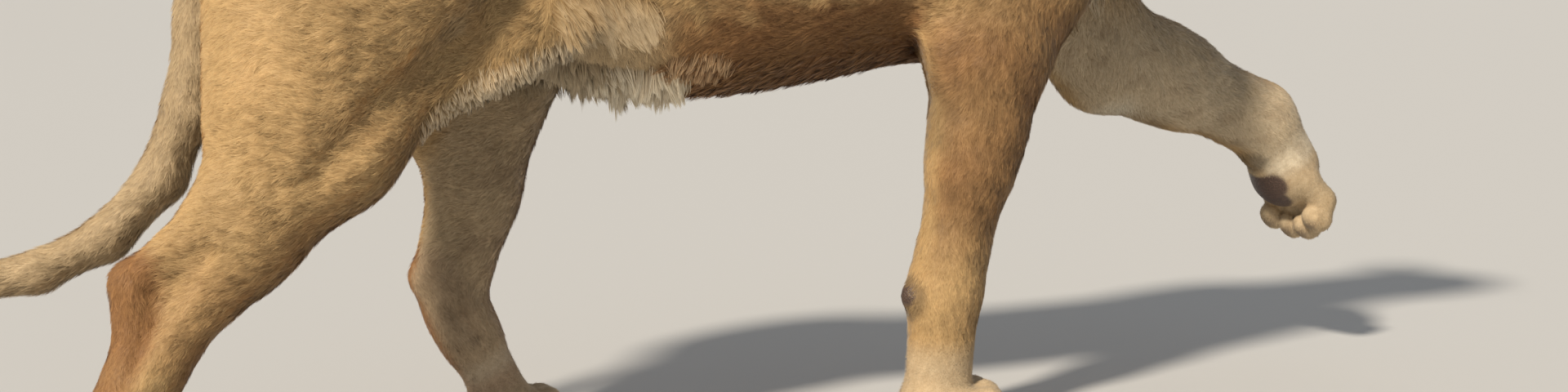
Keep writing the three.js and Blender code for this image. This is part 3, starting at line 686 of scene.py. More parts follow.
def makeSkin():
    low, high = vec((-1070, -205, -6)), vec((1060, 205, 1050))
    cell = skinDetail["cell"] * 1
    points, quads = surfaceNet(fieldOnGrid(low, high, cell), low, cell)
    points = settle(points)
    report(f"skin net of {len(quads)} faces")
    mesh = bpy.data.meshes.new("lionessSkin")
    mesh.from_pydata(points.tolist(), [], quads.tolist())
    bm = bmesh.new()
    bm.from_mesh(mesh)
    headLow = place(headFrame, (-60, 0, 0))[0] - 60
    for level in range(2):
        centres = np.array([f.calc_center_median() for f in bm.faces])
        inHead = (centres - headFrame[:3, 3]) @ headFrame[:3, :3]
        fine = (centres[:, 0] > headLow) & (centres[:, 2] > 690) & (level == 0)
        for made in pawFrames.values():
            q = (centres - made[:3, 3]) @ made[:3, :3]
            fine |= (np.abs(q[:, 0] - 25) < 110) & (np.abs(q[:, 1]) < 90) & (q[:, 2] < 85) & (level == 0)
        for side in (1, -1):
            fine |= np.linalg.norm(inHead - vec(eyeBall["at"]) * (1, side, 1), axis=1) < 42
        muzzle = (inHead[:, 2] < -25) & (inHead[:, 2] > -105) & (np.abs(inHead[:, 1]) < 60)
        fine |= (inHead[:, 0] > 74) & muzzle
        edges = dict.fromkeys(e for f, keep in zip(bm.faces, fine) if keep for e in f.edges)
        bmesh.ops.subdivide_edges(bm, edges=list(edges), cuts=1, use_grid_fill=True)
    bm.verts.ensure_lookup_table()
    points = settle(np.array([v.co for v in bm.verts]), rounds=3)
    points[:, 2] = np.maximum(points[:, 2], 0.0)
    for v, p in zip(bm.verts, toFrame(points)):
        v.co = p
    bmesh.ops.recalc_face_normals(bm, faces=bm.faces)
    bm.to_mesh(mesh)
    bm.free()
    mesh.shade_smooth()
    return addPiece("lionessSkin", mesh), points


skin, skinPoints = makeSkin()
report(f"skin of {len(skin.data.polygons)} faces")
fleshNodes = [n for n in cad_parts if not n.startswith("eye_")]
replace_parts(skin, *fleshNodes)


def chainOf(leg, names):
    return [vec(joints[leg][n]) for n in names]


def toesOf(leg):
    return place(pawFrames[leg], (paws[leg[:4]]["length"], 0, 22))


# The lie of the coat: each stroke says which way the hair near it lies.
def lieStrokes():
    rows = [  # from, to, reach, direction
        ((-470, 0, 740), (500, 0, 740), 170, (-1, 0, -0.16)),
        ((-250, 0, 940), (420, 0, 950), 40, (-1, 0, 0)),
        ((430, 0, 790), (740, 0, 850), 130, (-0.94, 0, -0.34)),
        ((-560, 0, 850), (-400, 0, 900), 70, (-0.95, 0, -0.3)),
    ]
    for side in (-1, 1):
        rows += [
            ((60, side * 90, 470), (230, side * 90, 480), 70, (-1, side * 0.1, 0.02)),
            ((-70, side * 100, 500), (-66, side * 60, 440), 26, (-0.5, -side * 0.3, -0.8)),
            ((-112, side * 92, 478), (-108, side * 46, 433), 22, (0.3, -side * 0.3, -0.9)),
            ((-150, side * 60, 450), (-220, side * 60, 462), 34, (0.42, -side * 0.2, -0.9)),
            ((-236, side * 110, 530), (-150, side * 106, 500), 26, (0.66, -side * 0.1, -0.74)),
        ]
    for leg, side in (("hindRight", -1), ("hindLeft", 1)):
        hip, knee, heel, knuckle = chainOf(leg, ("hip", "knee", "heel", "knuckle"))
        rows += [
            (hip + (-40, side * 30, 60), knee + (-20, 0, 40), 120, (-1, 0, -0.07)),
            (knee, between(knee, heel, 0.75), 66, unit(heel - knee) * 0.35 + vec((-0.75, 0, 0.0))),
            (knee + (46, 0, -10), joints[leg]["flank"] + vec((0, 0, -45)), 30, (-0.25, 0, -0.9)),
            (heel, knuckle, 40, unit(knuckle - heel) + vec((0.1, 0, 0))),
            (knuckle, toesOf(leg), 42, unit(toesOf(leg) - knuckle)),
        ]
    for leg, side in (("foreRight", -1), ("foreLeft", 1)):
        blade, shoulder, elbow, wrist, knuckle = chainOf(
            leg, ("blade", "shoulder", "elbow", "wrist", "knuckle"))
        rows += [
            (blade, shoulder, 95, (-0.8, 0, -0.6)),
            (shoulder, elbow, 80, unit(elbow - shoulder) * 0.5 + vec((-0.2, 0, -0.8))),
            (elbow, wrist, 62, unit(wrist - elbow) + vec((-0.06, 0, -0.2))),
            (wrist, knuckle, 46, unit(knuckle - wrist)),
            (knuckle, toesOf(leg), 46, unit(toesOf(leg) - knuckle)),
        ]
    for a, b in zip(tailLine[1:], tailLine[2:]):
        rows.append((a, b, 40, unit(b - a)))
    for side in (-1, 1):
        base, tip = place(earFrame(side), (0, 0, -30)), place(earFrame(side), (0, 0, 50))
        rows.append((base, tip, 34, unit(tip - base)))
    return rows


def distanceToStroke(p, a, b):
    along = vec(b) - a
    t = np.clip((p - a) @ along / (along @ along), 0, 1)
    return np.linalg.norm(p - a - t[:, None] * along, axis=1)


def lieAt(p, normals):
    total = np.zeros_like(p)
    for a, b, reach, direction in lieStrokes():
        weight = (distanceToStroke(p, a, b) / reach + 0.02) ** -4
        total += weight[:, None] * unit(direction)
    nose = place(headFrame, (128, 0, -44))
    bridge, crown = place(headFrame, (90, 0, -60)), place(headFrame, (-120, 0, -30))
    weight = (distanceToStroke(p, bridge, crown) / 95 + 0.02) ** -4
    away = p - nose
    total += weight[:, None] * away / np.maximum(np.linalg.norm(away, axis=1), 1)[:, None]
    total -= normals * (total * normals).sum(1)[:, None]
    return total / np.maximum(np.linalg.norm(total, axis=1), 1e-6)[:, None]


def waves(p, wave, seed, count=7):  # an even, seeded ripple between -1 and 1, its bumps `wave` mm apart
    pick = np.random.default_rng(seed)
    total = np.zeros(len(p))
    for _ in range(count):
        way = unit(pick.normal(size=3)) * pick.uniform(0.7, 1.45)
        total += np.sin(p @ way * (2 * math.pi / wave) + pick.uniform(0, 2 * math.pi))
    return total / math.sqrt(count * 0.5) / 1.8


def near(p, a, b, inner, outer):  # 1 closer to the line than inner, 0 beyond outer
    t = np.clip((outer - distanceToStroke(p, vec(a), vec(b) + 1e-3)) / (outer - inner), 0, 1)
    return t * t * (3 - 2 * t)


def ramp(x, low, high):
    t = np.clip((x - low) / (high - low), 0, 1)
    return t * t * (3 - 2 * t)


def tailPlace(p):  # how far along the tail, in stations, and how far from its middle
    best, nearest = np.zeros(len(p)), np.full(len(p), 1e3)
    for n, (a, b) in enumerate(zip(tailLine, tailLine[1:])):
        line = b - a
        t = np.clip((p - a) @ line / (line @ line), 0, 1)
        d = np.linalg.norm(p - a - t[:, None] * line, axis=1)
        best, nearest = np.where(d < nearest, n + t, best), np.minimum(nearest, d)
    return best, nearest


def whiskerPlaces():  # their roots, in four rows on the left cheek pad, in the head's frame
    rows = ((-62, 116, 4), (-72, 122, 5), (-82, 122, 5), (-92, 116, 4))
    for row, (height, first, count) in enumerate(rows):
        for n in range(count):
            yield (first - n * 11 - 2 * (row % 2), 46 + 3.4 * n, height - 0.8 * n)


def inHeadFrame(p):
    return (p - headFrame[:3, 3]) @ headFrame[:3, :3]


def fold(h):  # both sides of the head laid on the left one
    return h * (1, 0, 1) + np.abs(h) * (0, 1, 0)


# Markings, the same for the skin and for every tuft.
def markings(p, normals):
    marks = {n: np.zeros(len(p)) for n in ("pale", "dark", "warm", "grey", "bare", "spot", "frost")}
    patch = waves(p, 90, 21)
    fine = waves(p, 34, 22)
    h = inHeadFrame(p)
    inHead = ramp(p[:, 0], 735, 790) * (p[:, 2] > 640)
    trunk = ramp(p[:, 0], -420, -330) * (1 - ramp(p[:, 0], 640, 740)) * ramp(p[:, 2], 330, 400)
    under = ramp(-normals[:, 2], 0.62, 0.98) * trunk
    # Where the belly faces down it is painted warm brown, grey toward the back and a little dark: partly its
    # own colour, partly painted shade under the body.
    belly = ramp(-normals[:, 2] + 0.10 * fine, 0.20, 0.52) * trunk * (1 - ramp(p[:, 2], 520, 580))
    marks["warm"] += belly * ramp(p[:, 0], -150, -60) * (1 - ramp(p[:, 0], 300, 420)) * 0.95 + 0.12 * patch
    marks["grey"] += belly * (1 - ramp(p[:, 0], -150, -80)) * 0.7
    marks["dark"] += belly * ramp(p[:, 0], -60, 60) * (1 - ramp(p[:, 0], 300, 420)) * 0.14
    marks["pale"] += under * (1 - ramp(p[:, 0], -150, -60)) * 0.5
    chest = ramp(-normals[:, 2] + 0.6 * normals[:, 0], 0.35, 0.9)
    marks["pale"] += trunk * ramp(p[:, 0], 420, 520) * chest * 0.8
    for leg, side in (("hindRight", -1), ("hindLeft", 1), ("foreRight", -1), ("foreLeft", 1)):
        j = joints[leg]
        low = (j["ankle"] if "ankle" in j else j["wrist"])
        top = (j["hip"] if "hip" in j else j["shoulder"])
        mid = (j["knee"] if "knee" in j else j["elbow"])
        at = near(p, top, mid, 90, 130)
        at = np.maximum(at, near(p, mid, low, 75, 100)) * (p[:, 1] * side > 8)
        outer = at * ramp(normals[:, 1] * side, 0.1, 0.7)
        outer = outer * (1 - ramp(p[:, 2], 470, 660)) * ramp(p[:, 2], 170, 300)
        at *= 1 - ramp(p[:, 2], 480, 590)
        inner = ramp(-normals[:, 1] * side, 0.15, 0.75) * at
        marks["pale"] += inner * (0.42 if "wrist" in j else 0.2)
        # The grey on the legs' inner sides is painted shade.
        marks["grey"] += inner * 0.55
        marks["spot"] += inner * 0.2 + at * 0.05
        # The hind legs' forward-facing sides are painted a darker warm brown: partly their own tint, partly
        # painted shade away from the light behind her.
        marks["warm"] += at * ramp(normals[:, 0], 0.35, 0.9) * 0.55 * ("ankle" in j)
        toes = near(p, j["knuckle"], toesOf(leg), 50, 90)
        marks["pale"] += toes * 0.35
        made = pawFrames[leg]
        q = (p - made[:3, 3]) @ made[:3, :3]
        sole = np.zeros(len(p))
        paw = paws[leg[:4]]
        for t in toePlaces(paw):
            sole = np.maximum(sole, near(q, t["pad"], t["pad"], 13, 19))
        sole = np.maximum(sole, near(q, (-14, -14, 8), (-14, 14, 8), 20, 27))
        sole = np.maximum(sole, near(q, (8, -6, 8), (8, 6, 8), 22, 28))
        bottom = (q[:, 2] < 11) * (np.abs(q[:, 1]) < 75) * (q[:, 0] < 125) * (q[:, 0] > -70)
        marks["bare"] = np.maximum(marks["bare"], sole * bottom)
        if "wrist" in j:
            lower = unit(vec(j["wrist"]) - j["elbow"])
            pad = vec(j["wrist"]) + lower * 8 + np.cross((0, 1, 0), lower) * 50
            marks["bare"] = np.maximum(marks["bare"], near(p, pad, pad, 13, 18))
            marks["dark"] += near(p, pad, pad, 22, 34) * 0.5
            # The fore legs' outer sides are painted a darker warm brown: partly their own colour, partly
            # painted shade.
            marks["warm"] += outer * (1 - toes) * 0.72
            marks["dark"] += outer * (1 - toes) * (0.20 + 0.08 * fine)
            behind = vec(j["elbow"]) + np.cross((0, 1, 0), lower) * 60
            marks["dark"] += near(p, behind, behind + lower * 90, 12, 44) * 0.3
        else:
            heel, shin = vec(j["heel"]) + (-6, 0, 0), between(j["knee"], j["ankle"], 0.2) + vec((30, 0, -20))
            marks["warm"] += near(p, heel, between(j["heel"], j["knuckle"], 0.8), 30, 58) * 0.95
            marks["warm"] += near(p, shin, j["ankle"], 20, 60) * 0.5
    # the tail is grey, with a black-brown tuft
    alongTail, nearest = tailPlace(p)
    onTail = (1 - ramp(nearest, 38, 50)) * ramp(alongTail, 0.6, 2.2)
    marks["grey"] += onTail * 0.85
    marks["dark"] += ramp(alongTail, 9.9, 10.6) * (nearest < 70)
    # face
    chin = ramp(-h[:, 2], 84, 100) * ramp(h[:, 0], -60, 10)
    throat = ramp(-h[:, 2], 96, 140) * ramp(p[:, 0], 560, 700) * 0.7
    folded = fold(h)
    lip = np.zeros(len(p))
    for a, b in zip(mouthLine, mouthLine[1:]):
        lip = np.maximum(lip, near(folded, a, b, 4, 8))
    muzzle = near(folded, (108, 30, -86), (84, 38, -90), 20, 36)
    underEye = near(folded, (28, 50, -30), (2, 64, -32), 7, 20)
    overEye = near(folded, (14, 40, 24), (-10, 56, 26), 5, 16)
    marks["pale"] += inHead * (chin + throat + muzzle * 0.75 + underEye * 0.8 + overEye * 0.5)
    leather = np.full(len(p), 1e3)
    for part in noseParts():
        leather = np.minimum(leather, part["distance"](p))
    topEdge = ramp(h[:, 2] + (h[:, 1] / 26) ** 2 * 5, -31, -27)
    leather = ramp(-leather, -4.5, -2.0) * ramp(h[:, 0], 112, 120) * (1 - topEdge)
    marks["bare"] = np.maximum(marks["bare"], inHead * np.maximum(leather, lip))
    for side in (1, -1):
        opening, size = lidField(side, p)[1:]
        q = (p - gazeFrame(side)[:3, 3]) @ gazeFrame(side)[:3, :3]
        rim = ramp(-opening, -6.5, -3.5) * (size < 32) * (q[:, 0] > -2)
        marks["bare"] = np.maximum(marks["bare"], rim)
        tear = near(h, (22, side * 38, -10), (46, side * 31, -30), 3, 8)
        marks["dark"] += tear * 0.75 * inHead
        made = earFrame(side)
        q = (p - made[:3, 3]) @ made[:3, :3]
        onEar = (np.abs(q[:, 0]) < 34) * (np.abs(q[:, 1]) < 46)
        onEar = onEar * ramp(q[:, 2], -12, 8) * ramp(h[:, 2], 40, 56)
        inside = (earParts(side)[1]["distance"](p) < 2.5) * (np.abs(q[:, 0]) < 30)
        earBack = ramp(-normals @ made[:3, 0], -0.1, 0.4) * (1 - ramp(q[:, 2], 38, 50))
        marks["dark"] += onEar * (1 - inside) * earBack * 0.85
        marks["pale"] += inside * (np.abs(q[:, 1]) < 46) * 0.75
    for spot in whiskerPlaces():
        marks["dark"] += inHead * near(folded, spot, vec(spot) + (0.5, 0, 0), 1.4, 3.0) * 0.7
    marks["spot"] *= ramp(waves(p, 46, 25) + 0.3 * fine, 0.35, 0.8)
    return {n: np.clip(v, 0, 1) for n, v in marks.items()}


def writeMarks(mesh, marks, repeat=1):
    for name, values in marks.items():
        attribute = mesh.attributes.new(name, "FLOAT", "POINT")
        attribute.data.foreach_set("value", np.repeat(values, repeat).astype(np.float32))


def normalsOf(mesh):
    values = np.empty(len(mesh.vertices) * 3, dtype=np.float32)
    mesh.vertex_normals.foreach_get("vector", values)
    return values.reshape(-1, 3).astype(float)


skinNormals = normalsOf(skin.data)
skinMarks = markings(skinPoints, skinNormals)
# The skin between the tufts takes a colour partway toward the hairs' darker roots: painted shade under the
# coat.
skinMarks["along"] = np.full(len(skinPoints), 0.45)
skinMarks["tone"] = waves(skinPoints, 11, 31) * 0.5
writeMarks(skin.data, skinMarks)
report("markings on the skin")

# The darker root colour of each kind of hair is painted shade between the hairs, since the short coat casts
# no shadow.
coatColors = dict(  # each kind of hair: colour at its root and at its tip
    tawny=((0.290, 0.172, 0.066), (0.610, 0.415, 0.192)),
    pale=((0.500, 0.398, 0.262), (0.900, 0.820, 0.650)),
    warm=((0.150, 0.064, 0.021), (0.400, 0.205, 0.076)),
    grey=((0.235, 0.168, 0.094), (0.590, 0.450, 0.270)),
    dark=((0.012, 0.008, 0.006), (0.060, 0.038, 0.024)),
    spot=((0.160, 0.100, 0.055), (0.360, 0.240, 0.135)),
)

furFinish = dict(
    toneShare=0.30, grainScale=260.0, grainShare=0.55, driftScale=9.0, drift=(0.90, 1.10),
    rough=0.62, gloss=0.28, sheen=0.12, sheenRough=0.45,
)
hideFinish = dict(
    leather=((0.040, 0.024, 0.017), (0.125, 0.072, 0.050)), leatherScale=520.0, hairScale=420.0,
    rough=(0.85, 0.42),  # under the hair, and where she is bare
    bump=0.6, bumpDepth=0.0015,  # depth in metres
)


def attributeNode(nodes, name):
    node = nodes.new("ShaderNodeAttribute")
    node.attribute_name = name
    return node.outputs["Fac"]


def mixColor(nodes, links, factor, a, b):
    node = nodes.new("ShaderNodeMix")
    node.data_type = "RGBA"
    links.new(factor, node.inputs[0])
    for socket, value in ((node.inputs[6], a), (node.inputs[7], b)):
        if isinstance(value, tuple):
            socket.default_value = (*value, 1)
        else:
            links.new(value, socket)
    return node.outputs[2]


def mathNode(nodes, links, operation, a, b, clamp=False):
    node = nodes.new("ShaderNodeMath")
    node.operation, node.use_clamp = operation, clamp
    for socket, value in zip(node.inputs, (a, b)):
        if isinstance(value, (int, float)):
            socket.default_value = value
        else:
            links.new(value, socket)
    return node.outputs[0]


def noiseNode(nodes, links, coordinates, scale, detail=3.0, rough=0.55):
    node = nodes.new("ShaderNodeTexNoise")
    node.inputs["Scale"].default_value = scale
    node.inputs["Detail"].default_value = detail
    node.inputs["Roughness"].default_value = rough
    links.new(coordinates, node.inputs["Vector"])
    return node.outputs["Fac"]


def furColor(nodes, links, coordinates):
    f = furFinish
    along, tone = attributeNode(nodes, "along"), attributeNode(nodes, "tone")
    shade = mathNode(nodes, links, "MULTIPLY", tone, f["toneShare"])
    grain = mathNode(nodes, links, "SUBTRACT", noiseNode(nodes, links, coordinates, f["grainScale"]), 0.5)
    grain = mathNode(nodes, links, "MULTIPLY", grain, f["grainShare"])
    # Colour runs from a hair's darker root to its tip; the darker root end is painted shade between the
    # hairs.
    height = mathNode(nodes, links, "ADD", mathNode(nodes, links, "ADD", along, shade), grain, clamp=True)
    color = mixColor(nodes, links, height, *coatColors["tawny"])
    for name in ("warm", "grey", "pale", "spot", "dark"):
        kind = mixColor(nodes, links, height, *coatColors[name])
        share = attributeNode(nodes, name)
        if name == "pale":  # frosted hair is pale only toward its tip
            tip = mathNode(nodes, links, "MULTIPLY", attributeNode(nodes, "frost"), along)
            share = mathNode(nodes, links, "MAXIMUM", share, tip)
        color = mixColor(nodes, links, share, color, kind)
    drift = noiseNode(nodes, links, coordinates, f["driftScale"], 4.0)
    weather = nodes.new("ShaderNodeMapRange")
    weather.inputs["To Min"].default_value, weather.inputs["To Max"].default_value = f["drift"]
    weather.inputs["From Min"].default_value, weather.inputs["From Max"].default_value = 0.3, 0.7
    links.new(drift, weather.inputs["Value"])
    scaled = nodes.new("ShaderNodeVectorMath")
    scaled.operation = "SCALE"
    links.new(color, scaled.inputs[0])
    links.new(weather.outputs["Result"], scaled.inputs["Scale"])
    return scaled.outputs["Vector"]


def makeCoatMaterial():
    material, nodes, links, shader = nodeMaterial("lionessCoat")
    where = nodes.new("ShaderNodeTexCoord").outputs["Object"]
    links.new(furColor(nodes, links, where), shader.inputs["Base Color"])
    for socket, kind in (("Roughness", "rough"), ("Specular IOR Level", "gloss"), ("Sheen Weight", "sheen"),
                         ("Sheen Roughness", "sheenRough")):
        shader.inputs[socket].default_value = furFinish[kind]
    return material


def makeSkinMaterial():
    material, nodes, links, shader = nodeMaterial("lionessHide")
    f = hideFinish
    where = nodes.new("ShaderNodeTexCoord").outputs["Object"]
    fur = furColor(nodes, links, where)
    leatherGrain = nodes.new("ShaderNodeTexVoronoi")
    leatherGrain.inputs["Scale"].default_value = f["leatherScale"]
    links.new(where, leatherGrain.inputs["Vector"])
    leather = mixColor(nodes, links, leatherGrain.outputs["Distance"], *f["leather"])
    bare = attributeNode(nodes, "bare")
    links.new(mixColor(nodes, links, bare, fur, leather), shader.inputs["Base Color"])
    rough = nodes.new("ShaderNodeMapRange")
    rough.inputs["To Min"].default_value, rough.inputs["To Max"].default_value = f["rough"]
    links.new(bare, rough.inputs["Value"])
    links.new(rough.outputs["Result"], shader.inputs["Roughness"])
    hair = noiseNode(nodes, links, where, f["hairScale"], 4.0, 0.7)
    height = mixColor(nodes, links, bare, hair, leatherGrain.outputs["Distance"])
    bump = nodes.new("ShaderNodeBump")
    bump.inputs["Strength"].default_value = f["bump"]
    bump.inputs["Distance"].default_value = f["bumpDepth"]
    links.new(height, bump.inputs["Height"])
    links.new(bump.outputs["Normal"], shader.inputs["Normal"])
    return material


skin.data.materials.append(makeSkinMaterial())
coatMaterial = makeCoatMaterial()

# Short tufts, laid over the whole skin.
coatSettings = dict(
    short=560000,  # tufts over the whole animal
    width=0.62,  # half of a hair's width at its root, mm
    flutter=0.20,  # how far a hair's shading leans from the skin's
    ruffle=0.28,  # and how far a whole lock's does
    clump=2.2,  # how far the tips are drawn together, mm
    clumpWave=10.0,  # and how far apart the clumps are, mm
)


def trianglesOf(mesh):
    mesh.calc_loop_triangles()
    corners = np.empty(len(mesh.loop_triangles) * 3, dtype=np.int32)
    mesh.loop_triangles.foreach_get("vertices", corners)
    return corners.reshape(-1, 3)


def scatter(corners, density, count, pick):
    a, b, c = (skinPoints[corners[:, n]] for n in range(3))
    area = np.linalg.norm(np.cross(b - a, c - a), axis=1) * 0.5 * density[corners].mean(1)
    total = np.cumsum(area)
    at = (np.arange(count) + pick.random(count)) / count * total[-1]
    face = np.minimum(np.searchsorted(total, at), len(corners) - 1)
    u, v = pick.random(count), pick.random(count)
    flip = u + v > 1
    u[flip], v[flip] = 1 - u[flip], 1 - v[flip]
    weights = np.stack([1 - u - v, u, v], axis=1)
    return face, weights


def mixed(values, corners, face, weights):
    picked = values[corners[face]]
    return (picked * (weights if picked.ndim == 2 else weights[..., None])).sum(1)


def hairLength(p):
    h = inHeadFrame(p)
    size = np.full(len(p), 13.5)
    for leg in joints:
        j = joints[leg]
        size -= near(p, j["knuckle"], toesOf(leg), 60, 100) * 8
        low = j["ankle"] if "ankle" in j else j["wrist"]
        size -= near(p, low, j["knuckle"], 50, 90) * 2.5
    head = ramp(p[:, 0], 700, 860) * (p[:, 2] > 640)
    size = size * (1 - head) + head * (4.6 + 6.4 * ramp(-h[:, 0], -110, 60))
    size -= (size - 5.0) * ramp(h[:, 2], 56, 74) * (h[:, 0] > -165) * (h[:, 0] < -60)
    folded = fold(h)
    size -= (size - 2.8) * near(folded, eyeBall["at"], eyeBall["at"], 26, 36)
    belly = near(p, (-220, 0, 450), (200, 0, 430), 60, 120)
    return size + belly * 6


skinCorners = trianglesOf(skin.data)


def rootsOnSkin(density, count, pick):
    face, weights = scatter(skinCorners, density, count, pick)
    roots, normals = (mixed(values, skinCorners, face, weights) for values in (skinPoints, skinNormals))
    return roots, unitRows(normals)


# Each coat piece, and the line that its unwrap winds round.
def coatPieces():
    rows = [("coatTail", tailLine),
            ("coatHead", [place(headFrame, (-190, 0, -30)), place(headFrame, (140, 0, -60))]),
            ("coatNeck", [vec((560, 0, 800)), vec((780, 0, 850))])]
    for side in ("Right", "Left"):
        hind, fore = "hind" + side, "fore" + side
        rows += [
            ("coatRump" + side, [vec((-640, 0, 740)), vec((-140, 0, 760))]),
            ("coatFlank" + side, [vec((-160, 0, 680)), vec((210, 0, 680))]),
            ("coatShoulder" + side, [vec((190, 0, 740)), vec((640, 0, 780))]),
            ("coatHindLeg" + side, chainOf(hind, ("hip", "knee", "heel", "knuckle")) + [toesOf(hind)]),
            ("coatForeLeg" + side, chainOf(fore, ("shoulder", "elbow", "wrist", "knuckle")) + [toesOf(fore)]),
        ]
    return rows


def pieceOf(p):  # the name of the coat piece that each root belongs to
    along, nearest = tailPlace(p)
    side = np.where(p[:, 1] < 0, "Right", "Left")
    high = p[:, 2] > np.where(p[:, 0] > 195, 560, 500)
    area = np.where(p[:, 0] < -150, np.where(high, "coatRump", "coatHindLeg"), "coatFlank")
    area = np.where(p[:, 0] > 195, np.where(high, "coatShoulder", "coatForeLeg"), area)
    names = np.char.add(area, side)
    leftKnee = (p[:, 0] > -152) & (p[:, 0] < -100) & (p[:, 2] < 480) & (p[:, 1] > 60)
    names = np.where(leftKnee, "coatHindLegLeft", names)
    neck = (p[:, 0] > 590) & (p[:, 2] > 690 - (p[:, 0] - 590) * 0.3)
    names = np.where(neck, "coatNeck", names)
    head = inHeadFrame(p)
    names = np.where((head[:, 0] > -150) & (p[:, 2] > 660), "coatHead", names)
    return np.where((along > 1.4) & (nearest < 48), "coatTail", names)


def unwrap(p, line):  # how far round the line and how far along it, both from 0 to 1
    best = np.full(len(p), 1e9)
    u, v = np.zeros(len(p)), np.zeros(len(p))
    start, whole = 0.0, sum(np.linalg.norm(b - a) for a, b in zip(line, line[1:]))
    for a, b in zip(line, line[1:]):
        way, length = unit(b - a), np.linalg.norm(b - a)
        t = (p - a) @ way
        d = np.linalg.norm(p - a - np.clip(t, 0, length)[:, None] * way, axis=1)
        side = unit(np.cross(way, np.cross((0, 1, 0), way)))
        rise = np.cross(way, side)
        q = p - a
        closer = d < best
        u = np.where(closer, np.arctan2(q @ side, q @ rise) / (2 * math.pi) + 0.5, u)
        v = np.where(closer, (start + np.clip(t, -60, length + 60)) / whole, v)
        best = np.minimum(best, d)
        start += length
    flat = np.stack([u, v], axis=1)
    flat -= flat.min(0)
    return 0.01 + 0.98 * flat / np.maximum(flat.max(0), 1e-6)


# Each short tuft is two pointed hairs from one root; each long one is a strip that narrows to its tip.
def shortTufts(roots, sides, widths, tips, lean):
    apart = sides * (widths * lean[:, None])
    a, b = roots + apart * 1.2, roots - apart * 1.2
    first = [a - sides * widths, a + sides * widths, tips[:, 0]]
    second = [b - sides * widths, b + sides * widths, tips[:, 1]]
    return np.stack(first + second, axis=1)


def longStrips(centres, sides, widths):
    count, stations = centres.shape[:2]
    pairs = stations - 1
    points = np.empty((count, 2 * pairs + 1, 3))
    points[:, 0:-1:2] = centres[:, :pairs] - sides[:, None] * widths[..., None]
    points[:, 1:-1:2] = centres[:, :pairs] + sides[:, None] * widths[..., None]
    points[:, -1] = centres[:, -1]
    return points


patchSize = 0.003  # a tuft's share of its piece's unwrap


def coatMesh(name, points, facing, marks, uv, material, shadow=False):
    count, each = points.shape[:2]
    if each == 6:
        faces, step, across = [3, 3], vec((0, 0, 1, 0, 0, 0.9)), vec((0, 0.2, 0.1, -0.2, 0, -0.1))
        ring = list(range(6))
    else:
        pairs = (each - 1) // 2
        faces = [4] * (pairs - 1) + [3]
        step = np.append(np.repeat(np.arange(pairs), 2), pairs) / pairs
        across = np.append(np.tile([-0.2, 0.2], pairs), 0.0)
        ring = [n + m for n in range(0, 2 * pairs - 2, 2) for m in (0, 1, 3, 2)]
        ring += [2 * pairs - 2, 2 * pairs - 1, 2 * pairs]
    starts = np.cumsum([0] + faces[:-1])
    corners = (np.arange(count)[:, None] * each + np.array(ring)).astype(np.int32)
    starts = (np.arange(count)[:, None] * len(ring) + starts).astype(np.int32)
    mesh = bpy.data.meshes.new(name)
    mesh.vertices.add(count * each)
    mesh.loops.add(corners.size)
    mesh.polygons.add(starts.size)
    mesh.vertices.foreach_set("co", toFrame(points.reshape(-1, 3)).astype(np.float32).ravel())
    mesh.loops.foreach_set("vertex_index", corners.ravel())
    mesh.polygons.foreach_set("loop_start", starts.ravel())
    mesh.update(calc_edges=True)
    writeMarks(mesh, {n: v for n, v in marks.items() if n != "bare"}, each)
    along = mesh.attributes.new("along", "FLOAT", "POINT")
    along.data.foreach_set("value", np.tile(step, count).astype(np.float32))
    patch = np.stack([across, step - 0.5], axis=1) * patchSize
    flat = (uv[:, None] + patch).reshape(-1, 2)[corners.ravel()]
    mesh.uv_layers.new(name="OFBake").data.foreach_set("uv", flat.astype(np.float32).ravel())
    mesh.materials.append(material)
    mesh.shade_smooth()
    # The coat takes the light as the body under it does, so its hairs don't glitter.
    shading = np.repeat(facing, each, axis=0).astype(np.float32)
    mesh.attributes.new("custom_normal", "FLOAT_VECTOR", "POINT").data.foreach_set("vector", shading.ravel())
    mesh.update()
    addPiece(name, mesh).visible_shadow = shadow  # the skin casts the coat's shadow
    return corners.size - 2 * starts.size


def raiseTo(p, normals, height, rounds=1):  # moves points to a height above the skin
    for _ in range(rounds):
        p = p + normals * np.clip(height - skinField(p), -12, 12)[:, None]
    return p


def coatHeight(roots):
    h = inHeadFrame(roots)
    height = np.full(len(roots), coatDepth["trunk"] + 0.4)
    for leg in joints:
        j = joints[leg]
        top, low = ("knee", "ankle") if "ankle" in j else ("elbow", "wrist")
        height -= near(roots, j[top], j[low], 60, 110) * 0.6
        height -= near(roots, j[low], toesOf(leg), 55, 95) * 1.6
    head = ramp(roots[:, 0], 700, 860) * (roots[:, 2] > 640)
    height = height * (1 - head) + head * (1.9 + 1.4 * ramp(-h[:, 0], -60, 90))
    folded = fold(h)
    height -= (height - 0.9) * near(folded, eyeBall["at"], eyeBall["at"], 26, 36)
    return np.maximum(height, 0.9)


def turned(lie, normals, angle):
    side = np.cross(normals, lie)
    return lie * np.cos(angle)[:, None] + side * np.sin(angle)[:, None]


def ruffles(p, lie, seed):  # a ripple drawn out along the lie of the coat
    level = waves(p * (0.28, 1, 1), 8.5, seed) * 0.75 + waves(p * (0.3, 1, 1), 15, seed + 1) * 0.5
    upright = waves(p * (1, 1, 0.28), 8.5, seed + 2) * 0.75 + waves(p * (1, 1, 0.3), 15, seed + 3) * 0.5
    share = ramp(np.abs(lie[:, 0]), 0.35, 0.8)
    return level * share + upright * (1 - share)


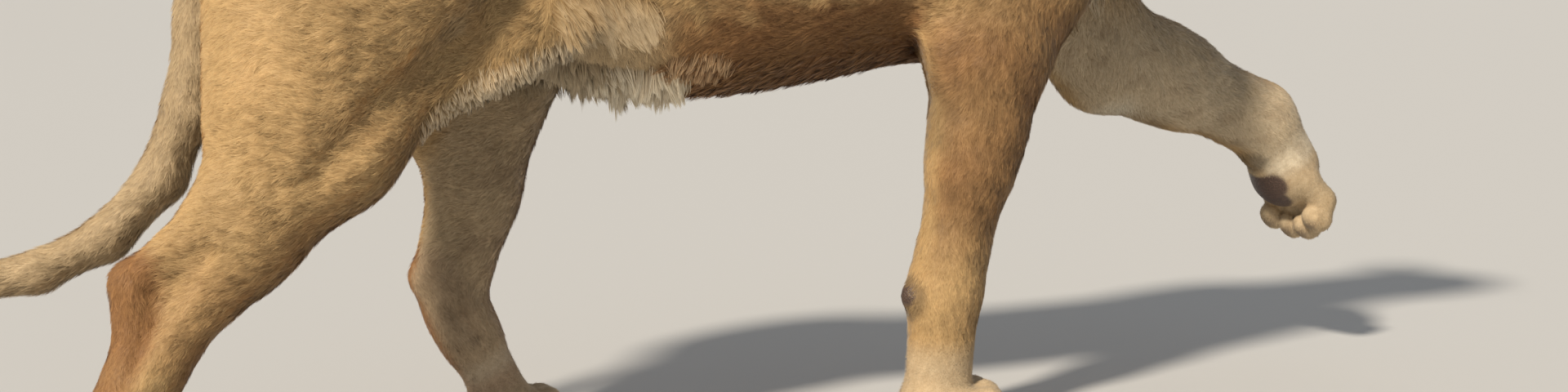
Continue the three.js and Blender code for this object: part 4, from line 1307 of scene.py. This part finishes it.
def makeCoat():
    c = coatSettings
    count = c["short"] // 1
    density = 1 - ramp(skinMarks["bare"], 0.3, 0.5)
    density *= ramp(skinPoints[:, 2], 1.0, 3.0)
    low = ramp(-skinPoints[:, 2], -640, -540)
    rightSide = ramp(-skinPoints[:, 1], -20, 60)
    head = ramp(skinPoints[:, 0], 780, 860) * (skinPoints[:, 2] > 640)
    density *= 0.8 + 0.25 * low + 0.95 * low * rightSide + 1.2 * head
    pick = np.random.default_rng(101)
    roots, normals = rootsOnSkin(density, count, pick)
    marks = markings(roots, normals)
    swirl = 0.30 * waves(roots, 75, 42) + 0.30 * waves(roots, 20, 43) + pick.normal(0, 0.16, count)
    lie = turned(lieAt(roots, normals), normals, swirl)
    length = hairLength(roots) * pick.uniform(0.75, 1.2, count)
    ruffle, tilt = ruffles(roots, lie, 51), ruffles(roots, lie, 55)
    stand = 0.64 + 0.2 * waves(roots, 16, 44) + 0.16 * ruffle + pick.uniform(-0.1, 0.1, count)
    height = coatHeight(roots) * stand
    side = np.cross(lie, normals)
    drift = c["clump"] * (length / 15) * waves(roots, c["clumpWave"], 45)
    tips = []
    for n in range(2):
        aside = drift + pick.normal(0, 0.9, count) * length / 13
        tip = roots + lie * (length * (1, 0.8)[n])[:, None] + side * aside[:, None]
        tips.append(raiseTo(tip, normals, height * (1, 0.8)[n], rounds=2 - n))
    roll = pick.uniform(-0.35, 0.35, count)
    across = side * np.cos(roll)[:, None] + normals * np.sin(roll)[:, None]
    widths = c["width"] * (0.35 + 0.65 * length / 15) * pick.uniform(0.7, 1.25, count)
    widths *= 1
    marks["tone"] = 0.2 * waves(roots, 12, 31) + 0.34 * ruffle + pick.normal(0, 0.3, count)
    flutter = side * pick.normal(0, 1, count)[:, None] + lie * pick.normal(-0.2, 0.7, count)[:, None]
    facing = normals + c["flutter"] * flutter
    facing += c["ruffle"] * (side * tilt[:, None] + lie * ruffle[:, None] * 0.5)
    facing = unitRows(facing)
    away = (np.cross(across, tips[0] - roots) * facing).sum(1) < 0
    across[away] *= -1  # every hair's front is outward
    lean = pick.uniform(0.6, 1.6, count)
    points = shortTufts(roots - normals * 0.6, across, widths[:, None], np.stack(tips, axis=1), lean)
    points[..., 2] = np.maximum(points[..., 2], 0.3)  # none goes through the floor
    report(f"{count} tufts laid")
    names = pieceOf(roots)
    whole = 0
    for name, line in coatPieces():
        mine = np.flatnonzero(names == name)
        if not len(mine):
            continue
        made = coatMesh(name, points[mine], facing[mine], {n: v[mine] for n, v in marks.items()},
                        unwrap(roots[mine], line), coatMaterial)
        whole += made
        print(f"    {name}: {made} triangles")
    report(f"short coat of {whole} triangles")


makeCoat()

# Rows of long hair on the right side, mirrored for the left: roots within `reach` of a line, the way they
# fall, their length in mm, their number and how many of them hang together as one lock. Pale, warm, grey,
# dark and frost are shares of those colours, and lift is how far the hair stands off at its root.
longHair = [
    dict(a=(-236, 116, 528), b=(-156, 110, 524), reach=30, fall=(0.62, 0, -0.74),
         long=31, count=2600, lock=11, pale=0.0, frost=0.22, lift=0.22),  # gold locks of the flank's fold
    dict(a=(-440, 132, 398), b=(-330, 124, 450), reach=22, fall=(0.2, -0.1, -0.95),
         long=12, count=1900, lock=9, pale=0.0, frost=0.5, lift=0.3, sides=(-1,)),
    dict(a=(-330, 124, 450), b=(-236, 104, 486), reach=24, fall=(0.26, -0.1, -0.95),
         long=17, count=2300, lock=10, pale=0.0, frost=0.55, lift=0.35, sides=(-1,)),
    # grey-brown hair under the belly: its grey and dark are painted shade
    dict(a=(-236, 60, 456), b=(-176, 50, 450), reach=30, fall=(0.2, -0.1, -0.95),
         long=26, count=1200, lock=10, pale=0.1, frost=0.3, grey=0.7, dark=0.25, lift=0.5),
    dict(a=(-166, 54, 450), b=(-92, 58, 448), reach=24, fall=(0.3, -0.1, -0.94),
         long=33, count=2400, lock=16, pale=0.8, frost=1.0, lift=0.55),  # cream fringe before the thigh
    # the next two rows are warm-brown belly hair: partly its own colour, partly painted shade under the body
    dict(a=(-84, 80, 462), b=(-40, 84, 466), reach=24, fall=(-0.3, -0.1, -0.9),
         long=20, count=700, lock=10, pale=0.0, frost=0.1, warm=0.9, grey=0.3, lift=0.25),
    dict(a=(-70, 50, 446), b=(180, 50, 448), reach=62, fall=(-0.93, 0, -0.25),
         long=20, count=2600, lock=14, pale=0.0, frost=0.0, warm=0.95, lift=0.16),
    dict(a=(430, 40, 520), b=(540, 50, 580), reach=80, fall=(0.1, 0, -1),
         long=34, count=1900, lock=16, pale=0.6, frost=0.4, lift=0.35),
]


def nearestOf(points, chosen):  # for each point, which of the chosen ones is nearest
    best, which = np.full(len(points), 1e12), np.zeros(len(points), int)
    for n in chosen:
        d = ((points - points[n]) ** 2).sum(1)
        which, best = np.where(d < best, n, which), np.minimum(best, d)
    return which


def drawTogether(paths, lock, pull, pick):  # long hairs close up into locks toward their tips
    leaders = nearestOf(paths[:, 0], pick.choice(len(paths), len(paths) // lock + 1, replace=False))
    led = paths[leaders]
    t = np.linspace(0, 1, paths.shape[1])[:, None]
    return led + (paths - led) * (1 - pull * t**1.2)


def fringe(row, side, seed):
    pick = np.random.default_rng(seed)
    flip = vec((1, side, 1))
    a, b = vec(row["a"]) * flip, vec(row["b"]) * flip
    density = near(skinPoints, a, b, row["reach"] * 0.5, row["reach"]) * (skinMarks["bare"] < 0.3)
    density *= skinPoints[:, 1] * side > -4
    roots, normals = rootsOnSkin(density, row["count"], pick)
    count = len(roots)
    fall = vec(row["fall"]) * flip + pick.normal(0, 0.10, (count, 3))
    fall[:, 0] += 0.26 * waves(roots, 34, seed + 1)
    fall[:, 1] += 0.12 * waves(roots, 18, seed + 2)
    flat = fall - normals * np.minimum((fall * normals).sum(1), 0)[:, None]
    way = unitRows(flat)
    length = row["long"] * pick.uniform(0.55, 1.15, count) * (1 + 0.25 * waves(roots, 28, seed + 3))
    lift = row["lift"] * pick.uniform(0.5, 1.1, count)
    curl = 0.35 * waves(roots, 40, seed + 4)
    sideways = np.cross(way, normals)
    sideways /= np.maximum(np.linalg.norm(sideways, axis=1), 1e-6)[:, None]
    points = [roots - normals]
    at = roots
    for n in range(1, 5):
        t = n / 4
        step = way + normals * (lift * (0.55 - 0.5 * t))[:, None] + sideways * (curl * t)[:, None]
        step = step + vec((0, 0, -0.25)) * t
        at = at + unitRows(step) * (length / 4)[:, None]
        at = at + normals * np.maximum(1.0 + 3.0 * t - skinField(at), 0)[:, None]
        points.append(at)
    paths = drawTogether(np.stack(points, axis=1), row["lock"], 0.72, pick)
    roll = pick.uniform(-0.6, 0.6, count)
    across = sideways * np.cos(roll)[:, None] + normals * np.sin(roll)[:, None]
    widths = pick.uniform(0.4, 0.75, count) * 1
    widths = widths[:, None] * vec((0.8, 1.0, 0.85, 0.55))
    marks = markings(roots, normals)
    for kind in ("pale", "grey", "warm", "dark"):
        marks[kind] = np.maximum(marks[kind] * (row["pale"] < 0.5), row.get(kind, 0))
    marks["frost"] = np.full(count, row["frost"])
    marks["tone"] = 0.35 * waves(roots, 14, 31) + pick.normal(0, 0.2, count)
    facing = normals + way * -0.25 + sideways * pick.normal(0, 0.35, count)[:, None]
    return longStrips(paths, across, widths), unitRows(facing), marks, roots


def makeFringes():
    for side, name in ((-1, "Right"), (1, "Left")):
        sets = [fringe(row, side, 300 + 7 * n) for n, row in enumerate(longHair)
                if side in row.get("sides", (-1, 1))]
        points, facing = (np.concatenate([part[n] for part in sets]) for n in (0, 1))
        marks = {n: np.concatenate([part[2][n] for part in sets]) for n in sets[0][2]}
        roots = np.concatenate([part[3] for part in sets])
        made = coatMesh(f"bellyFringe{name}", points, facing, marks,
                        unwrap(roots, [vec((-460, 0, 600)), vec((560, 0, 640))]), coatMaterial)
        print(f"    bellyFringe{name}: {made} triangles")


def makeTailTuft():
    pick = np.random.default_rng(77)
    density = ramp(tailPlace(skinPoints)[0], 10.0, 10.8) * (skinPoints[:, 0] < -900)
    count = 3600
    roots, normals = rootsOnSkin(density, count, pick)
    along = tailPlace(roots)[0]
    stations = vec(tailLine)
    end = len(stations) - 1
    points, at = [roots - normals], roots
    length = 46 * pick.uniform(0.6, 1.1, count) * (1 - 0.45 * ramp(along, 11.6, 13))
    flare = pick.uniform(0.15, 0.55, count)
    for n in range(1, 5):
        t = n / 4
        i = np.minimum(np.floor(along + t * 1.2).astype(int), end - 1)
        way = unitRows(stations[i + 1] - stations[i])
        step = way + normals * (flare * (1 - 1.2 * t))[:, None] + pick.normal(0, 0.05, (count, 3))
        step = step + vec((0, 0, -0.06))
        at = at + unitRows(step) * (length / 4)[:, None]
        points.append(at)
    across = unitRows(np.cross(normals, pick.normal(0, 1, (count, 3))))
    widths = pick.uniform(0.6, 1.1, count)[:, None] * vec((0.9, 1.0, 0.8, 0.5))
    marks = markings(roots, normals)
    marks["dark"] = np.maximum(marks["dark"], ramp(along, 10.2, 10.9))
    marks["tone"] = pick.normal(0, 0.3, count)
    paths = drawTogether(np.stack(points, axis=1), 24, 0.5, pick)
    facing = unitRows(normals + pick.normal(0, 0.25, (count, 3)))
    coatMesh("tailTuft", longStrips(paths, across, widths), facing, marks, unwrap(roots, list(stations[9:])),
             coatMaterial, shadow=True)


makeFringes()
makeTailTuft()
report("fringes and tail tuft")

# Whiskers and claws are joined tapering tubes.
whiskerSettings = dict(long=(58, 104), thick=0.42, brow=(34, 52))  # mm
clawSettings = dict(long=15, thick=3.6, out=6.0)  # mm; out is how far the tip hooks down


def makeTubes(name, rows, sides, material):  # each row is a tube's path, radii and up
    points, faces = [], []
    for path, radii, up in rows:
        first, last = len(points), len(path) - 1
        for n, (p, r) in enumerate(zip(path, radii)):
            way = unit(path[min(n + 1, last)] - path[max(n - 1, 0)])
            across = unit(np.cross(way, up))
            rise = np.cross(across, way)
            for m in range(sides):
                turn = 2 * math.pi * m / sides
                points.append(p + (across * math.cos(turn) + rise * math.sin(turn)) * r)
        for n in range(last):
            for m in range(sides):
                a, b = first + n * sides + m, first + n * sides + (m + 1) % sides
                faces.append((a, b, b + sides, a + sides))
        faces.append(tuple(first + m for m in range(sides))[::-1])
        faces.append(tuple(first + last * sides + m for m in range(sides)))
    mesh = bpy.data.meshes.new(name)
    mesh.from_pydata(toFrame(points).tolist(), [], faces)
    mesh.update()
    mesh.shade_smooth()
    mesh.materials.append(material)
    addPiece(name, mesh)


def hornMaterial(name, dull, bright, scale, rough):
    material, nodes, links, shader = nodeMaterial(name)
    where = nodes.new("ShaderNodeTexCoord").outputs["Object"]
    grain = noiseNode(nodes, links, where, scale, 4.0, 0.6)
    links.new(mixColor(nodes, links, grain, dull, bright), shader.inputs["Base Color"])
    shader.inputs["Roughness"].default_value = rough
    return material


def makeWhiskers():
    pick = np.random.default_rng(19)
    rows = []
    for side in (1, -1):
        flip = vec((1, side, 1))
        for x, y, z in whiskerPlaces():
            back = (122 - x) / 50
            way = unit((0.30 - 0.75 * back, 1.0, 0.10 + (z + 77) * 0.016)) + pick.normal(0, 0.07, 3)
            length = pick.uniform(*whiskerSettings["long"]) * (0.6 + 0.5 * back)
            rows.append((onCheek(x, z) * flip, unit(way) * flip, length))
        for n in range(4):
            root = vec((20 - 9 * n, 40 + 7 * n, 31 + n)) * flip
            way = unit((0.5, 0.3 + 0.1 * n, 0.8)) * flip
            rows.append((root, way, pick.uniform(*whiskerSettings["brow"])))
    made = []
    for root, way, length in rows:
        t = np.linspace(0, 1, 8)[:, None]
        path = root - way * 4 + way * (t * length) + vec((-0.16, 0, -0.20)) * length * t**2
        path = np.array([place(headFrame, p) for p in path])
        made.append((path, whiskerSettings["thick"] * (1.02 - t[:, 0]) + 0.05, (0.1, 0.2, 1)))
    material = hornMaterial("whiskerHair", (0.62, 0.58, 0.50), (0.86, 0.84, 0.78), 300.0, 0.4)
    makeTubes("whiskers", made, 5, material)


def makeClaws():
    made = []
    for leg, paw in ((n, paws[n[:4]]) for n in joints):
        for toe in toePlaces(paw):
            tip, size = vec(toe["tip"]), toe["toe"]
            t = np.linspace(0, 1, 8)[:, None]
            start = tip + (size * 0.42, 0, size * 0.34)
            path = start + vec((1, 0, 0)) * clawSettings["long"] * t
            path = path + vec((0, 0, -1)) * clawSettings["out"] * t**2
            path = np.array([place(pawFrames[leg], p) for p in path])
            radii = clawSettings["thick"] * (1 - t[:, 0] ** 1.5) * 0.9 + 0.15
            made.append((path, radii, pawFrames[leg][:3, 2]))
    material = hornMaterial("clawHorn", (0.10, 0.072, 0.05), (0.34, 0.27, 0.20), 160.0, 0.34)
    makeTubes("claws", made, 10, material)


makeWhiskers()
makeClaws()
report("whiskers and claws")

# The eyeballs, behind the lids: how far from the pupil's middle each colour begins, in radians.
eyeRings = (
    (0.225, (0.006, 0.005, 0.004)),  # pupil
    (0.245, (0.36, 0.15, 0.025)),
    (0.42, (0.62, 0.36, 0.07)),  # amber
    (0.66, (0.36, 0.15, 0.025)),
    (0.72, (0.03, 0.018, 0.010)),  # dark rim
    (0.80, (0.10, 0.055, 0.035)),  # the brown white of the eye
)
eyeFinish = dict(
    wobble=0.10, bulge=0.055, bulgeWide=0.62,  # the cornea's rise, as shares of the radius and of a radian
    sink=0.8,  # mm that the ball lies inside the lids' sphere
    rough=0.35, gloss=0.1, wet=0.8, wetRough=0.03,
)


def makeEyeMaterial():
    f = eyeFinish
    material, nodes, links, shader = nodeMaterial("amberEye")
    angle = attributeNode(nodes, "fromPupil")
    streaks = nodes.new("ShaderNodeAttribute")
    streaks.attribute_name = "streak"
    wobble = noiseNode(nodes, links, streaks.outputs["Vector"], 7.0, 4.0, 0.7)
    shaken = mathNode(nodes, links, "ADD", angle, mathNode(nodes, links, "MULTIPLY", wobble, f["wobble"]))
    rings = nodes.new("ShaderNodeValToRGB")
    stops = rings.color_ramp.elements
    for at, color in eyeRings:
        stops.new(at).color = (*color, 1)
    stops.remove(stops[0])
    stops.remove(stops[-1])
    links.new(shaken, rings.inputs["Fac"])
    links.new(rings.outputs["Color"], shader.inputs["Base Color"])
    for socket, kind in (("Roughness", "rough"), ("Specular IOR Level", "gloss"), ("Coat Weight", "wet"),
                         ("Coat Roughness", "wetRough")):
        shader.inputs[socket].default_value = f[kind]
    return material


def makeEyes():
    f, material = eyeFinish, makeEyeMaterial()
    for side, name in ((1, "left"), (-1, "right")):
        bm = bmesh.new()
        bmesh.ops.create_uvsphere(bm, u_segments=64, v_segments=40, radius=1.0)
        turn = gazeFrame(side)
        points, angles, streaks = [], [], []
        for v in bm.verts:
            x, y, z = v.co.z, v.co.x, v.co.y  # the pole looks along the gaze
            off = math.acos(max(-1, min(1, x)))
            bulge = 1.0 + f["bulge"] * max(0.0, 1 - (off / f["bulgeWide"]) ** 2)
            points.append(vec((x, y, z)) * (eyeBall["radius"] - f["sink"]) * bulge)
            angles.append(off)
            around = math.atan2(z, y)
            streaks.append((math.cos(around), math.sin(around), off * 0.25))
        placed = np.array(points) @ turn[:3, :3].T + turn[:3, 3]
        for v, p in zip(bm.verts, toFrame(placed)):
            v.co = p
        mesh = bpy.data.meshes.new(f"eyeball_{name}")
        bmesh.ops.recalc_face_normals(bm, faces=bm.faces)
        bm.to_mesh(mesh)
        bm.free()
        mesh.attributes.new("fromPupil", "FLOAT", "POINT").data.foreach_set("value", np.float32(angles))
        streak = mesh.attributes.new("streak", "FLOAT_VECTOR", "POINT")
        streak.data.foreach_set("vector", np.float32(streaks).ravel())
        mesh.shade_smooth()
        mesh.materials.append(material)
        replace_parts(addPiece(f"eyeball_{name}", mesh), f"eye_{name}")


makeEyes()
report("eyes")
